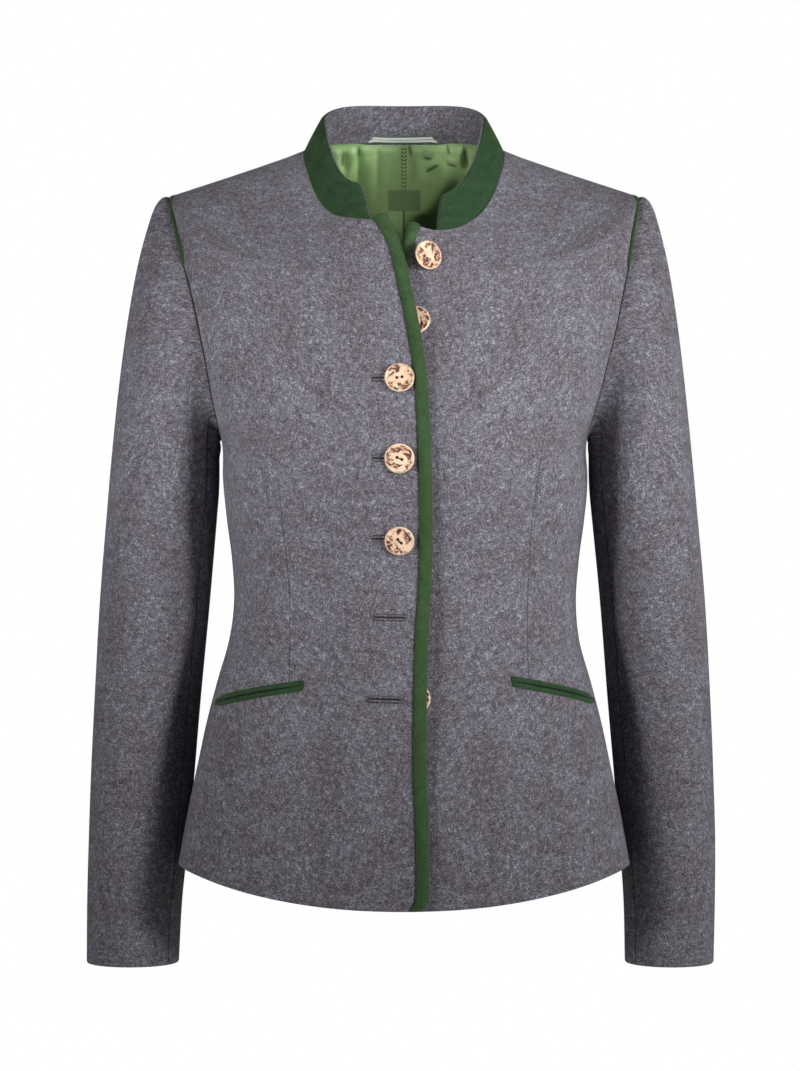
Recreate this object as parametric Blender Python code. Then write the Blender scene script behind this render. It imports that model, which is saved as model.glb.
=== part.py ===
"""A woman's Tyrolean loden jacket, filled out as if worn, with its top two buttons undone.

Metres, +Z up. +X is the wearer's left, -Y the front. The origin lies between the shoulders, at the
height of the points where the shoulder seams meet the neck. Right and left are the wearer's.

The bodice is one smooth skin, read from SECTIONS. Each section is a ring round the body: level
below the arms, and tilted up over the shoulders to the neck above them. A place on the skin is
(run, turn): run goes up from the hem to the neck, and turn goes round in degrees, 0 at the centre
front, 90 at the wearer's left side and 180 at the centre back. Right-hand places have a negative
turn. Panels are cut from the skin, and everything sewn on a panel is made from its points.
"""

import math
from collections import namedtuple

import bpy
import bmesh
from mathutils import Matrix, Vector

# Cloth and gaps
LODEN = 0.0020
FELT = 0.0012
SATIN = 0.0008
RIBBON = 0.0008
SEAM = 0.0003
UP = Vector((0, 0, 1))
SIDES = {"right": -1, "left": 1}

# Bodice
Section = namedtuple(
    "Section", "run front_z side_z back_z half_width front_y side_y back_y square late"
)
SECTIONS = (
    Section(0.000, -0.6040, -0.5750, -0.5900, 0.1815, -0.1300, -0.020, 0.122, 2.20, 0.0),
    Section(0.042, -0.5560, -0.5330, -0.5450, 0.1740, -0.1260, -0.018, 0.120, 2.20, 0.0),
    Section(0.082, -0.5080, -0.4930, -0.5000, 0.1657, -0.1215, -0.014, 0.114, 2.20, 0.0),
    Section(0.114, -0.4700, -0.4610, -0.4650, 0.1590, -0.1170, -0.010, 0.107, 2.20, 0.0),
    Section(0.147, -0.4320, -0.4280, -0.4300, 0.1505, -0.1120, -0.006, 0.098, 2.20, 0.0),
    Section(0.179, -0.3980, -0.3960, -0.3970, 0.1415, -0.1070, -0.003, 0.089, 2.20, 0.0),
    Section(0.211, -0.3640, -0.3640, -0.3640, 0.1377, -0.1050, 0.000, 0.084, 2.20, 0.0),
    Section(0.244, -0.3310, -0.3310, -0.3310, 0.1393, -0.1090, 0.000, 0.087, 2.30, 0.0),
    Section(0.276, -0.2990, -0.2990, -0.2990, 0.1434, -0.1190, 0.000, 0.094, 2.40, 0.0),
    Section(0.3085, -0.2665, -0.2665, -0.2665, 0.1466, -0.1290, 0.000, 0.102, 2.50, 0.0),
    Section(0.340, -0.2350, -0.2350, -0.2350, 0.1475, -0.1330, 0.000, 0.109, 2.50, 0.0),
    Section(0.385, -0.1990, -0.1900, -0.1880, 0.1650, -0.1285, 0.000, 0.113, 2.40, 0.1),
    Section(0.435, -0.1630, -0.1400, -0.1350, 0.1815, -0.1160, 0.000, 0.113, 2.35, 0.3),
    Section(0.485, -0.1310, -0.0900, -0.0860, 0.1890, -0.1035, 0.000, 0.106, 2.30, 0.5),
    Section(0.540, -0.1050, -0.0370, -0.0450, 0.1895, -0.0930, 0.000, 0.093, 2.20, 0.7),
    Section(0.559, -0.0970, -0.0310, -0.0345, 0.1720, -0.0895, 0.001, 0.088, 2.15, 0.8),
    Section(0.597, -0.0820, -0.0187, -0.0130, 0.1350, -0.0830, 0.002, 0.078, 2.10, 0.9),
    Section(0.655, -0.0640, 0.0000, 0.0136, 0.0810, -0.0755, 0.004, 0.066, 2.05, 1.0),
)
ARMPIT_RUN = 0.340
SHOULDER_RUN = 0.540
NECK_RUN = 0.655
LATE_ROUND = 1.5
LATE_POWER = 2.2

# Armhole: how far it reaches forward and back of the side line, and how much lower its widest is
ARMHOLE_FRONT = 0.054
ARMHOLE_BACK = 0.052
ARMHOLE_SAG = 0.22
SLEEVE_GAP = 0.0004

# Front edges: height, and x of the edge. The right front overlaps the left one.
Edge = namedtuple("Edge", "z x")
RIGHT_EDGE = (
    Edge(-0.6045, 0.0120),
    Edge(-0.5960, 0.0187),
    Edge(-0.5340, 0.0187),
    Edge(-0.4870, 0.0171),
    Edge(-0.3940, 0.0184),
    Edge(-0.3390, 0.0216),
    Edge(-0.2615, 0.0215),
    Edge(-0.1945, 0.0183),
    Edge(-0.1544, 0.0133),
    Edge(-0.1186, 0.0063),
    Edge(-0.0816, -0.0024),
    Edge(-0.0550, -0.0142),
)
LEFT_EDGE = (
    Edge(-0.6045, -0.0090),
    Edge(-0.5960, -0.0150),
    Edge(-0.4400, -0.0150),
    Edge(-0.3750, -0.0230),
    Edge(-0.3300, -0.0265),
    Edge(-0.2600, -0.0265),
    Edge(-0.1900, -0.0245),
    Edge(-0.1600, -0.0190),
    Edge(-0.1200, -0.0115),
    Edge(-0.0800, -0.0020),
    Edge(-0.0610, 0.0036),
)
# The right front stands off the left one, more where a button lies under it
Lift = namedtuple("Lift", "z rise")
RIGHT_LIFT = (
    Lift(-0.6045, 0.0048),
    Lift(-0.5000, 0.0060),
    Lift(-0.4700, 0.0084),
    Lift(-0.4392, 0.0090),
    Lift(-0.3756, 0.0082),
    Lift(-0.3400, 0.0056),
    Lift(-0.3100, 0.0046),
    Lift(-0.2000, 0.0046),
    Lift(-0.1750, 0.0066),
    Lift(-0.1550, 0.0090),
    Lift(-0.1300, 0.0090),
    Lift(-0.0900, 0.0064),
    Lift(-0.0550, 0.0045),
)
LIFT_FULL_X = 0.036
LIFT_NONE_X = 0.070
Front = namedtuple("Front", "sign edge lift drop corner_rise")
FRONTS = {
    "right": Front(-1, RIGHT_EDGE, RIGHT_LIFT, 0.0000, 0.0080),
    "left": Front(1, LEFT_EDGE, None, 0.0055, 0.0050),
}
COLLAR_END_X = 0.0270
NECK_SIDE_X = 0.081
NECK_RAMP = 0.165
CORNER_RAMP = 0.080
CORNER_X = 0.002
COLUMN_CROWDING = 1.15

# Collar
COLLAR_HEIGHT = 0.0315
COLLAR_LEAN = math.radians(23)
COLLAR_ROUND = 0.0150
COLLAR_CENTRE_Y = -0.005
COLLAR_INNER = 0.0015
NECK_GAP = 0.0007

# Sleeves: centre and half width of the right and left one, with the depth of both
SleeveRing = namedtuple("SleeveRing", "z right_x right_half left_x left_half y half_depth")
SLEEVE_RINGS = (
    SleeveRing(-0.662, 0.2220, 0.0376, 0.2170, 0.0360, 0.015, 0.0460),
    SleeveRing(-0.607, 0.2206, 0.0389, 0.2172, 0.0372, 0.020, 0.0475),
    SleeveRing(-0.558, 0.2176, 0.0412, 0.2158, 0.0392, 0.026, 0.0490),
    SleeveRing(-0.509, 0.2146, 0.0425, 0.2130, 0.0405, 0.031, 0.0510),
    SleeveRing(-0.445, 0.2097, 0.0434, 0.2087, 0.0420, 0.034, 0.0540),
    SleeveRing(-0.364, 0.2033, 0.0449, 0.2029, 0.0428, 0.028, 0.0570),
    SleeveRing(-0.283, 0.1958, 0.0449, 0.1945, 0.0430, 0.014, 0.0600),
)
CUFF_Z = -0.662
BICEP_Z = -0.283
FRONT_SEAM = 36
BACK_SEAM = 256
SLEEVE_SEAM_GAP = math.degrees(SEAM / 2 / 0.040)

# Trim on the fronts
BINDING_WIDTH = 0.0108
BINDING_UNDER = 0.0050
BINDING_GAP = 0.0006
PIPING_WIDTH = 0.0035
PIPING_RISE = 0.0012
PIPING_END = 120
WELT_HEIGHT = 0.0044
WELT_RISE = 0.0014
SLIT = 0.0010
Pocket = namedtuple("Pocket", "inner_x inner_z outer_x outer_z")
POCKETS = {
    "right": Pocket(0.0790, -0.4290, 0.1500, -0.4450),
    "left": Pocket(0.0845, -0.4260, 0.1510, -0.4435),
}

# Buttonholes, in the right front: centre and slope
HOLE_LENGTH = 0.0260
HOLE_HEIGHT = 0.0060
HOLE_RISE = 0.0009
Hole = namedtuple("Hole", "x z slope")
HOLES = (
    Hole(-0.0310, -0.0835, 30),
    Hole(-0.0200, -0.1345, 8),
    Hole(-0.0125, -0.1890, 3),
    Hole(-0.0125, -0.2515, 0),
    Hole(-0.0125, -0.3140, 0),
    Hole(-0.0105, -0.3756, 0),
    Hole(-0.0145, -0.4392, 0),
)
# Buttons, all sewn to the left front: centre, and whether it is through the right front
BUTTON_RADIUS = 0.0116
BUTTON_GAP = 0.0008
BUTTON_THICK = 0.0034
BUTTON_RIM = 0.0020
BUTTON_DISH = 0.0007
THREAD_HOLE = 0.0011
THREAD_SPACING = 0.0046
Button = namedtuple("Button", "x z through")
BUTTONS = (
    Button(0.0189, -0.0900, False),
    Button(0.0090, -0.1418, False),
    Button(-0.0036, -0.1882, True),
    Button(-0.0036, -0.2512, True),
    Button(-0.0036, -0.3146, True),
    Button(0.0020, -0.3756, False),
    Button(0.0078, -0.4392, False),
)

# Inside the back neck
LINING_GAP = 0.0005
LINING_HEM = 0.020
LABEL_GAP = 0.0008
LABEL = {"x": 0.0005, "width": 0.027, "top": -0.0250, "bottom": -0.0424}
LOOP_GAP = 0.0009
LOOP = {"x": -0.0010, "width": 0.063, "height": 0.0064, "slack": 0.0012}

# Colours: linear red, green, blue, and roughness
LODEN_GREY = (0.105, 0.105, 0.120, 0.95)
FELT_GREEN = (0.020, 0.062, 0.022, 0.90)
SATIN_GREEN = (0.075, 0.170, 0.040, 0.35)
LABEL_GREEN = (0.012, 0.040, 0.020, 0.60)
RIBBON_PALE = (0.480, 0.520, 0.440, 0.60)
HORN = (0.600, 0.400, 0.240, 0.40)


# ---------------------------------------------------------------- reading the tables


def between(table, at):
    """A row of the table at one value of its first column, on a smooth curve through the rows."""
    keys = [row[0] for row in table]
    at = min(max(at, keys[0]), keys[-1])
    k = max(i for i in range(len(keys) - 1) if keys[i] <= at)
    step = keys[k + 1] - keys[k]
    s = (at - keys[k]) / step
    values = []
    for column in range(1, len(table[0])):
        left = slope(table, k, column) * step
        right = slope(table, k + 1, column) * step
        start, end = table[k][column], table[k + 1][column]
        values.append(
            start * (1 + 2 * s) * (1 - s) ** 2
            + end * s * s * (3 - 2 * s)
            + left * s * (1 - s) ** 2
            + right * s * s * (s - 1)
        )
    return type(table[0])(at, *values)


def slope(table, k, column):
    """How fast a column changes at row k."""
    low, high = max(k - 1, 0), min(k + 1, len(table) - 1)
    return (table[high][column] - table[low][column]) / (table[high][0] - table[low][0])


def ease(value, start, end):
    """0 before start, 1 after end, and a soft step between them."""
    s = min(max((value - start) / (end - start), 0), 1)
    return s * s * (3 - 2 * s)


def spread(start, end, count):
    """Evenly spaced values, both ends among them."""
    return [start + (end - start) * i / (count - 1) for i in range(count)]


# ---------------------------------------------------------------- the bodice's skin


def skin(run, turn):
    """A point on the bodice's outer face."""
    turn = (turn + 180) % 360 - 180
    ring = between(SECTIONS, run)
    angle = math.radians(abs(turn))
    across = math.sin(angle) ** (2 / ring.square)
    along = abs(math.cos(angle)) ** (2 / ring.square)
    front = abs(turn) <= 90
    end_y = ring.front_y if front else ring.back_y
    end_z = ring.front_z if front else ring.back_z
    late = (1 - abs(math.cos(angle)) ** LATE_ROUND) ** LATE_POWER
    rise = (1 - ring.late) * math.sin(angle) ** 2 + ring.late * late
    return Vector(
        (
            math.copysign(ring.half_width * across, turn),
            ring.side_y + (end_y - ring.side_y) * along,
            end_z + (ring.side_z - end_z) * rise,
        )
    )


def skin_normal(run, turn):
    """The way out of the skin."""
    low, high = max(run - 0.001, 0), min(run + 0.001, NECK_RUN)
    round_it = skin(run, turn + 0.5) - skin(run, turn - 0.5)
    up_it = skin(high, turn) - skin(low, turn)
    return round_it.cross(up_it).normalized()


def turn_at_x(run, x):
    """The turn, on the front, at which a ring passes x."""
    ring = between(SECTIONS, run)
    share = min(abs(x) / ring.half_width, 1)
    return math.copysign(math.degrees(math.asin(share ** (ring.square / 2))), x)


def armhole_turn(run, back=False):
    """The turn at which the front, or the back, ends: at the side seam or at the armhole."""
    ring = between(SECTIONS, run)
    reach = SEAM / 2
    if ARMPIT_RUN < run < SHOULDER_RUN:
        height = 1 - 2 * (run - ARMPIT_RUN) / (SHOULDER_RUN - ARMPIT_RUN)
        wide = ARMHOLE_BACK if back else ARMHOLE_FRONT
        reach += wide * math.sqrt(1 - height * height) * (1 + ARMHOLE_SAG * height)
    depth = ring.back_y - ring.side_y if back else ring.side_y - ring.front_y
    turn = math.degrees(math.acos((reach / depth) ** (ring.square / 2)))
    return 180 - turn if back else turn


def armhole_run(angle):
    """The run of the armhole's edge, at an angle of 0 at the armpit and 180 at the shoulder."""
    share = (1 - math.cos(math.radians(angle))) / 2
    return ARMPIT_RUN + (SHOULDER_RUN - ARMPIT_RUN) * share


HEM_CORNER_RUN = 0.006
BODY_RUNS = [0, HEM_CORNER_RUN] + spread(0, ARMPIT_RUN, 14)[1:-1]
ARMHOLE_ANGLES = (0, 18, FRONT_SEAM, 58, 80, 360 - BACK_SEAM, PIPING_END, 140, 160, 180)
ARMHOLE_RUNS = [armhole_run(angle) for angle in ARMHOLE_ANGLES]
SHOULDER_RUNS = spread(SHOULDER_RUN, NECK_RUN, 5)[1:]
PANEL_RUNS = BODY_RUNS + ARMHOLE_RUNS + SHOULDER_RUNS
FRONT_COLUMNS = 12
BACK_COLUMNS = 10


# ---------------------------------------------------------------- the fronts


def front_point(front, run, turn, out=0.0):
    """A point of a front, out from its outer face. turn counts from the centre to its own side."""
    turn *= front.sign
    point = skin(run, turn)
    own_x = point.x * front.sign
    at_neck = ease(run, NECK_RUN - NECK_RAMP, NECK_RUN)
    at_corner = ease(run, NECK_RUN - CORNER_RAMP, NECK_RUN)
    point.z -= front.drop * at_neck * (1 - ease(own_x, COLLAR_END_X, NECK_SIDE_X))
    point.z += front.corner_rise * at_corner * (1 - ease(own_x, CORNER_X, COLLAR_END_X))
    if front.lift:
        near = 1 - ease(own_x, LIFT_FULL_X, LIFT_NONE_X)
        out += between(front.lift, point.z).rise * near
    return point + skin_normal(run, turn) * out


def front_turns(front, run):
    """The turns of a front's columns: its edge, its binding's inner side, and on to its far side."""
    edge, end = edge_turn(front, run), armhole_turn(run)
    edge_x = skin(run, edge * front.sign).x * front.sign
    bound = turn_at_x(run, edge_x + BINDING_WIDTH)
    shares = spread(0, 1, FRONT_COLUMNS - 1)
    return [edge] + [bound + (end - bound) * share**COLUMN_CROWDING for share in shares]


def edge_turn(front, run):
    """The turn, counted to its own side, of a front's edge."""
    turn = 0.0
    for _ in range(4):
        z = front_point(front, run, turn).z
        turn = turn_at_x(run, between(front.edge, z).x * front.sign)
    return turn


def front_run(front, turn, z):
    """The run at which a front reaches a height."""
    low, high = 0.0, NECK_RUN
    for _ in range(30):
        middle = (low + high) / 2
        if front_point(front, middle, turn).z < z:
            low = middle
        else:
            high = middle
    return low


def front_at(front, turn, z, out=0.0):
    """The point of a front at a turn and a height."""
    return front_point(front, front_run(front, turn, z), turn, out)


def front_at_x(front, x, z, out=0.0):
    """The point of a front at an x and a height."""
    turn = 0.0
    for _ in range(6):
        turn = turn_at_x(front_run(front, turn, z), x * front.sign)
    return front_at(front, turn, z, out)


def make_front(side):
    front = FRONTS[side]
    outer, inner = [], []
    for run in PANEL_RUNS:
        turns = front_turns(front, run)
        outer.append([front_point(front, run, turn) for turn in turns])
        inner.append([front_point(front, run, turn, -LODEN) for turn in turns])
    wall(f"front_{side}", LODEN_GREY, outer, inner)


# ---------------------------------------------------------------- the backs and their lining


def back_turns(run):
    """The turns of a back's columns, from its side seam or armhole to the centre back seam."""
    return spread(armhole_turn(run, back=True), 180 - turn_at_x(run, SEAM / 2), BACK_COLUMNS)


def back_rows(side, runs, out):
    """Rows of points on a back."""
    sign = SIDES[side]
    return [
        [skin(run, sign * t) + skin_normal(run, sign * t) * out for t in back_turns(run)]
        for run in runs
    ]


def make_back(side):
    outer = back_rows(side, PANEL_RUNS, 0)
    inner = back_rows(side, PANEL_RUNS, -LODEN)
    wall(f"back_{side}", LODEN_GREY, outer, inner)


def make_lining(side):
    runs = [run for run in PANEL_RUNS if run >= LINING_HEM][:-1] + [NECK_RUN - 0.0015]
    near = -LODEN - LINING_GAP
    outer = back_rows(side, runs, near)
    inner = back_rows(side, runs, near - SATIN)
    wall(f"lining_back_{side}", SATIN_GREEN, outer, inner)


def back_at(x, z, out):
    """The point of the back at an x and a height, out from its outer face."""
    low, high = 0.0, NECK_RUN
    for _ in range(30):
        run = (low + high) / 2
        turn = 180 - abs(turn_at_x(run, x))
        if skin(run, turn).z < z:
            low = run
        else:
            high = run
    turn = math.copysign(turn, x)
    return skin(run, turn) + skin_normal(run, turn) * out


def make_label():
    near = -LODEN - LINING_GAP - SATIN - LABEL_GAP
    half = LABEL["width"] / 2
    xs = spread(LABEL["x"] - half, LABEL["x"] + half, 4)
    zs = spread(LABEL["bottom"], LABEL["top"], 3)
    outer = [[back_at(x, z, near) for x in xs] for z in zs]
    inner = [[back_at(x, z, near - RIBBON) for x in xs] for z in zs]
    wall("neck_label", LABEL_GREEN, outer, inner)


# ---------------------------------------------------------------- the collar


def collar_point(side, turn, up, out):
    """A point of the stand collar: up its leaning face from the neck seam, and out from it."""
    if turn <= 90:
        base = front_point(FRONTS[side], NECK_RUN, turn)
    else:
        base = skin(NECK_RUN, SIDES[side] * turn)
    away = Vector((base.x, base.y - COLLAR_CENTRE_Y, 0)).normalized()
    rising = UP * math.cos(COLLAR_LEAN) - away * math.sin(COLLAR_LEAN)
    facing = away * math.cos(COLLAR_LEAN) + UP * math.sin(COLLAR_LEAN)
    return base + rising * (NECK_GAP + up) + facing * out


def collar_places():
    """Places along the neck seam, from the right end round the back to the left end."""
    start = turn_at_x(NECK_RUN, COLLAR_END_X)
    rounding = [start, start + 2, start + 5, start + 9]
    places = {}
    for side, front in FRONTS.items():
        fronts = [t for t in front_turns(front, NECK_RUN) if t > rounding[-1] + 2]
        turns = rounding + fronts + back_turns(NECK_RUN)[1:-1]
        places[side] = [(side, turn) for turn in turns]
    return places["right"] + [("left", 180)] + places["left"][::-1]


def collar_heights(places):
    """The collar's height at each place: it rounds down to the seam at both ends."""
    points = [collar_point(side, turn, 0, 0) for side, turn in places]
    walked = [0.0]
    for here, there in zip(points, points[1:]):
        walked.append(walked[-1] + (there - here).length)
    heights = []
    for distance in walked:
        from_end = min(distance, walked[-1] - distance) / COLLAR_ROUND
        full = 1 - max(1 - from_end, 0) ** 1.8
        heights.append(0.002 + (COLLAR_HEIGHT - 0.002) * full)
    return heights


def make_collar():
    places = collar_places()
    heights = collar_heights(places)
    layers = (
        ("collar_outer", FELT_GREEN, 0, FELT, 0),
        ("collar_inner", LODEN_GREY, FELT + SEAM, COLLAR_INNER, 0.0004),
    )
    for name, colour, depth, thick, taller in layers:
        grids = []
        for out in (-depth, -depth - thick):
            grids.append(
                [
                    [
                        collar_point(*place, share * (height + taller), out)
                        for place, height in zip(places, heights)
                    ]
                    for share in (0, 0.33, 0.67, 1)
                ]
            )
        wall(name, colour, *grids)


def make_loop():
    near = FELT + SEAM + COLLAR_INNER + LOOP_GAP
    half = LOOP["width"] / 2
    outer, inner = [], []
    for up in (0.0003, 0.0003 + LOOP["height"]):
        back_row, face_row = [], []
        for x in spread(LOOP["x"] - half, LOOP["x"] + half, 9):
            shape = 1 - ((x - LOOP["x"]) / half) ** 2
            taper = 0.0028 * (1 - shape) ** 6 if up > 0.001 else 0
            slack = LOOP["slack"] * shape
            side = "left" if x > 0 else "right"
            turn = 180 - abs(turn_at_x(NECK_RUN, x))
            back_row.append(collar_point(side, turn, up - taper, -near - slack))
            face_row.append(collar_point(side, turn, up - taper, -near - slack - RIBBON))
        outer.append(back_row)
        inner.append(face_row)
    wall("hanger_loop", RIBBON_PALE, outer, inner)


# ---------------------------------------------------------------- the sleeves


def armhole_edge(angle):
    """Edge, way out of the skin, and way on from the skin, at an angle round the left armhole."""
    back = angle > 180
    own = min(max(360 - angle if back else angle, 0.5), 179.5)
    run = armhole_run(own)
    turn = armhole_turn(run, back)
    step = 0.4
    ahead, behind = armhole_run(own + step), armhole_run(own - step)
    along = skin(ahead, armhole_turn(ahead, back)) - skin(behind, armhole_turn(behind, back))
    facing = skin_normal(run, turn)
    onward = along.cross(facing).normalized() * (-1 if back else 1)
    return skin(run, turn), facing, onward


def arm_ring(side, angle, z):
    """A point of the left-hand form of a sleeve, below the bicep. 0 faces the body, 90 front."""
    ring = between(SLEEVE_RINGS, z)
    centre = ring.right_x if side == "right" else ring.left_x
    half = ring.right_half if side == "right" else ring.left_half
    turn = math.radians(angle)
    return Vector(
        (centre - half * math.cos(turn), ring.y - ring.half_depth * math.sin(turn), z)
    )


def sleeve_skin(side, angle, level):
    """A point of a sleeve: level 0 at the armhole, 1 at the bicep and 2 at the cuff."""
    if level >= 1:
        point = arm_ring(side, angle, BICEP_Z + (CUFF_Z - BICEP_Z) * (level - 1))
    else:
        edge, _, onward = armhole_edge(angle)
        turn = math.radians(angle)
        start = edge + onward * SLEEVE_GAP
        end = arm_ring(side, angle, BICEP_Z)
        reach = (end - start).length
        out_way = (onward * 0.45 + Vector((1, 0, 0.12))).normalized()
        out_by = 0.004 + 0.009 * (1 - math.cos(turn)) + 0.016 * math.sin(turn) ** 2
        up_way = (end - arm_ring(side, angle, BICEP_Z - 0.02)).normalized()
        handle = start + out_way * out_by
        arrival = end + up_way * reach * 0.55
        s = level
        point = (
            start * (1 - s) ** 3
            + handle * 3 * s * (1 - s) ** 2
            + arrival * 3 * s * s * (1 - s)
            + end * s**3
        )
    point.x *= SIDES[side]
    return point


def sleeve_wall_point(side, angle, level, out):
    """A point of a sleeve, out from its outer face. At the armhole it faces as the bodice does."""
    if level == 0:
        facing = armhole_edge(angle)[1]
        facing.x *= SIDES[side]
        return sleeve_skin(side, angle, level) + facing * out
    low, high = max(level - 0.004, 0), min(level + 0.004, 2)
    round_it = sleeve_skin(side, angle + 1, level) - sleeve_skin(side, angle - 1, level)
    down_it = sleeve_skin(side, angle, high) - sleeve_skin(side, angle, low)
    facing = down_it.cross(round_it).normalized() * SIDES[side]
    return sleeve_skin(side, angle, level) + facing * out


SLEEVE_LEVELS = [0, 0.08, 0.17, 0.27, 0.38, 0.5, 0.63, 0.76, 0.88] + spread(1, 2, 10)


def make_sleeve(side):
    both = ARMHOLE_ANGLES + tuple(360 - angle for angle in ARMHOLE_ANGLES[-2:0:-1])
    top = [angle for angle in both if FRONT_SEAM <= angle <= BACK_SEAM]
    under = [angle for angle in both if angle >= BACK_SEAM]
    under += [360 + angle for angle in both if angle <= FRONT_SEAM]
    for name, angles in (("top_sleeve", top), ("under_sleeve", under)):
        angles[0] += SLEEVE_SEAM_GAP
        angles[-1] -= SLEEVE_SEAM_GAP
        grids = [
            [
                [sleeve_wall_point(side, angle % 360, level, out) for angle in angles]
                for level in SLEEVE_LEVELS
            ]
            for out in (0, -LODEN)
        ]
        wall(f"{name}_{side}", LODEN_GREY, *grids)


# ---------------------------------------------------------------- trim on the fronts


def make_binding(side):
    """Felt folded round a front's edge: wide outside, narrow inside."""
    front = FRONTS[side]
    under = -LODEN - BINDING_GAP
    bound = BINDING_GAP + FELT
    rows = []
    for run in PANEL_RUNS:
        edge, wide = front_turns(front, run)[:2]
        narrow = edge + (wide - edge) * BINDING_UNDER / BINDING_WIDTH
        away = front_point(front, run, edge - 1) - front_point(front, run, edge + 1)
        away.normalize()
        close, far = away * BINDING_GAP, away * bound
        rows.append(
            [
                front_point(front, run, wide, BINDING_GAP),
                front_point(front, run, wide, bound),
                front_point(front, run, edge, bound) + close,
                front_point(front, run, edge, -LODEN / 2) + far,
                front_point(front, run, edge, under - SATIN) + close,
                front_point(front, run, narrow, under - SATIN),
                front_point(front, run, narrow, under),
                front_point(front, run, edge, under) + close,
                front_point(front, run, edge, BINDING_GAP) + close,
            ]
        )
    tube(f"binding_{side}", FELT_GREEN, rows)


def make_piping(side):
    """A narrow felt cord along the front and back of the armhole's top."""
    sign = SIDES[side]
    profile = ((0.0007, 0), (0.0009, 0.8), (0.0014, 1), (0.0021, 0.55), (0.0029, 1))
    profile += ((PIPING_WIDTH, 0.8), (PIPING_WIDTH + 0.0002, 0))
    there = [angle for angle in ARMHOLE_ANGLES if angle >= PIPING_END]
    back = [360 - angle for angle in there[-2::-1]]
    rows = []
    for angle in there + back:
        edge, facing, onward = armhole_edge(angle)
        row = [
            edge - onward * inward + facing * (SEAM + PIPING_RISE * rise)
            for inward, rise in profile
        ]
        rows.append([Vector((p.x * sign, p.y, p.z)) for p in row])
    tube(f"piping_{side}", FELT_GREEN, rows)


def strip(name, colour, centres, half_height, heights):
    """A raised strip along a line on a front: its centres are (front, turn, z) places."""
    rows = []
    for front, turn, z in centres:
        row = [front_at(front, turn, z + half_height, SEAM)]
        for share, rise in heights:
            row.append(front_at(front, turn, z + half_height * share, SEAM + rise))
        row.append(front_at(front, turn, z - half_height, SEAM))
        rows.append(row)
    tube(name, colour, rows)


def make_pocket(side):
    front, pocket = FRONTS[side], POCKETS[side]
    heights = ((1, WELT_RISE * 0.6), (0.5, WELT_RISE), (-0.5, WELT_RISE), (-1, WELT_RISE * 0.6))
    start = turn_at_x(front_run(front, 40, pocket.inner_z), pocket.inner_x)
    end = turn_at_x(front_run(front, 75, pocket.outer_z), pocket.outer_x)
    for place, shift in (("upper", 1), ("lower", -1)):
        rise = shift * (WELT_HEIGHT + SLIT) / 2
        centres = [
            (front, turn, z + rise)
            for turn, z in zip(spread(start, end, 9), spread(pocket.inner_z, pocket.outer_z, 9))
        ]
        strip(f"welt_{place}_{side}", FELT_GREEN, centres, WELT_HEIGHT / 2, heights)


def make_buttonholes():
    front = FRONTS["right"]
    lips = ((1, 0.6), (0.6, 1), (0.15, 0.7), (0, 0.25), (-0.15, 0.7), (-0.6, 1), (-1, 0.6))
    heights = [(share, HOLE_RISE * rise) for share, rise in lips]
    for number, hole in enumerate(HOLES, 1):
        centres = []
        for along in spread(-HOLE_LENGTH / 2, HOLE_LENGTH / 2, 5):
            x = hole.x + along * math.cos(math.radians(hole.slope))
            z = hole.z + along * math.sin(math.radians(hole.slope))
            turn = turn_at_x(front_run(front, 5, z), -x)
            centres.append((front, turn, z))
        strip(f"buttonhole_{number}", LODEN_GREY, centres, HOLE_HEIGHT / 2, heights)


def make_buttons():
    """Round two-hole buttons, sewn to the left front. Three are through the right front."""
    disc = button_mesh()
    for number, button in enumerate(BUTTONS, 1):
        front = FRONTS["right" if button.through else "left"]
        clear = BUTTON_GAP + (SEAM + HOLE_RISE if button.through else 0)
        seat = front_at_x(front, button.x, button.z, clear)
        facing = (front_at_x(front, button.x, button.z, clear + 0.001) - seat).normalized()
        across = facing.cross(UP).normalized() * -1
        axes = Matrix((across, facing.cross(across), facing)).transposed()
        part = bpy.data.objects.new(f"button_{number}", disc)
        part.matrix_world = Matrix.Translation(seat) @ axes.to_4x4()
        bpy.context.scene.collection.objects.link(part)


def button_mesh():
    """A disc with a rim and a dished face, bored by two thread holes."""
    profile = (
        (BUTTON_RADIUS - 0.0012, 0),
        (BUTTON_RADIUS, BUTTON_THICK * 0.45),
        (BUTTON_RADIUS - 0.0006, BUTTON_THICK * 0.9),
        (BUTTON_RADIUS - 0.0013, BUTTON_THICK),
        (BUTTON_RADIUS - BUTTON_RIM, BUTTON_THICK - BUTTON_DISH),
    )
    bm = bmesh.new()
    segments = 16
    rings = []
    for radius, height in profile:
        turns = [math.tau * k / segments for k in range(segments)]
        rings.append(
            [bm.verts.new((radius * math.cos(t), radius * math.sin(t), height)) for t in turns]
        )
    for low, high in zip(rings, rings[1:]):
        for k in range(segments):
            n = (k + 1) % segments
            bm.faces.new((low[k], low[n], high[n], high[k]))
    bm.faces.new(list(reversed(rings[0])))
    bm.faces.new(rings[-1])
    mesh = finish("button_blank", HORN, bm)
    blank = bpy.data.objects.new("button_blank", mesh)
    bpy.context.scene.collection.objects.link(blank)
    cutters = []
    for shift in (-0.5, 0.5):
        bpy.ops.mesh.primitive_cylinder_add(
            vertices=6,
            radius=THREAD_HOLE,
            depth=BUTTON_THICK * 3,
            location=(THREAD_SPACING * shift, 0, 0),
        )
        cutter = bpy.context.object
        cut = blank.modifiers.new("thread_hole", "BOOLEAN")
        cut.operation = "DIFFERENCE"
        cut.object = cutter
        cutters.append(cutter)
    bpy.context.view_layer.update()
    seen = blank.evaluated_get(bpy.context.evaluated_depsgraph_get())
    bored = bpy.data.meshes.new_from_object(seen)
    bored.name = "button"
    for helper in cutters + [blank]:
        bpy.data.objects.remove(helper)
    return bored


# ---------------------------------------------------------------- making solids


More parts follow.
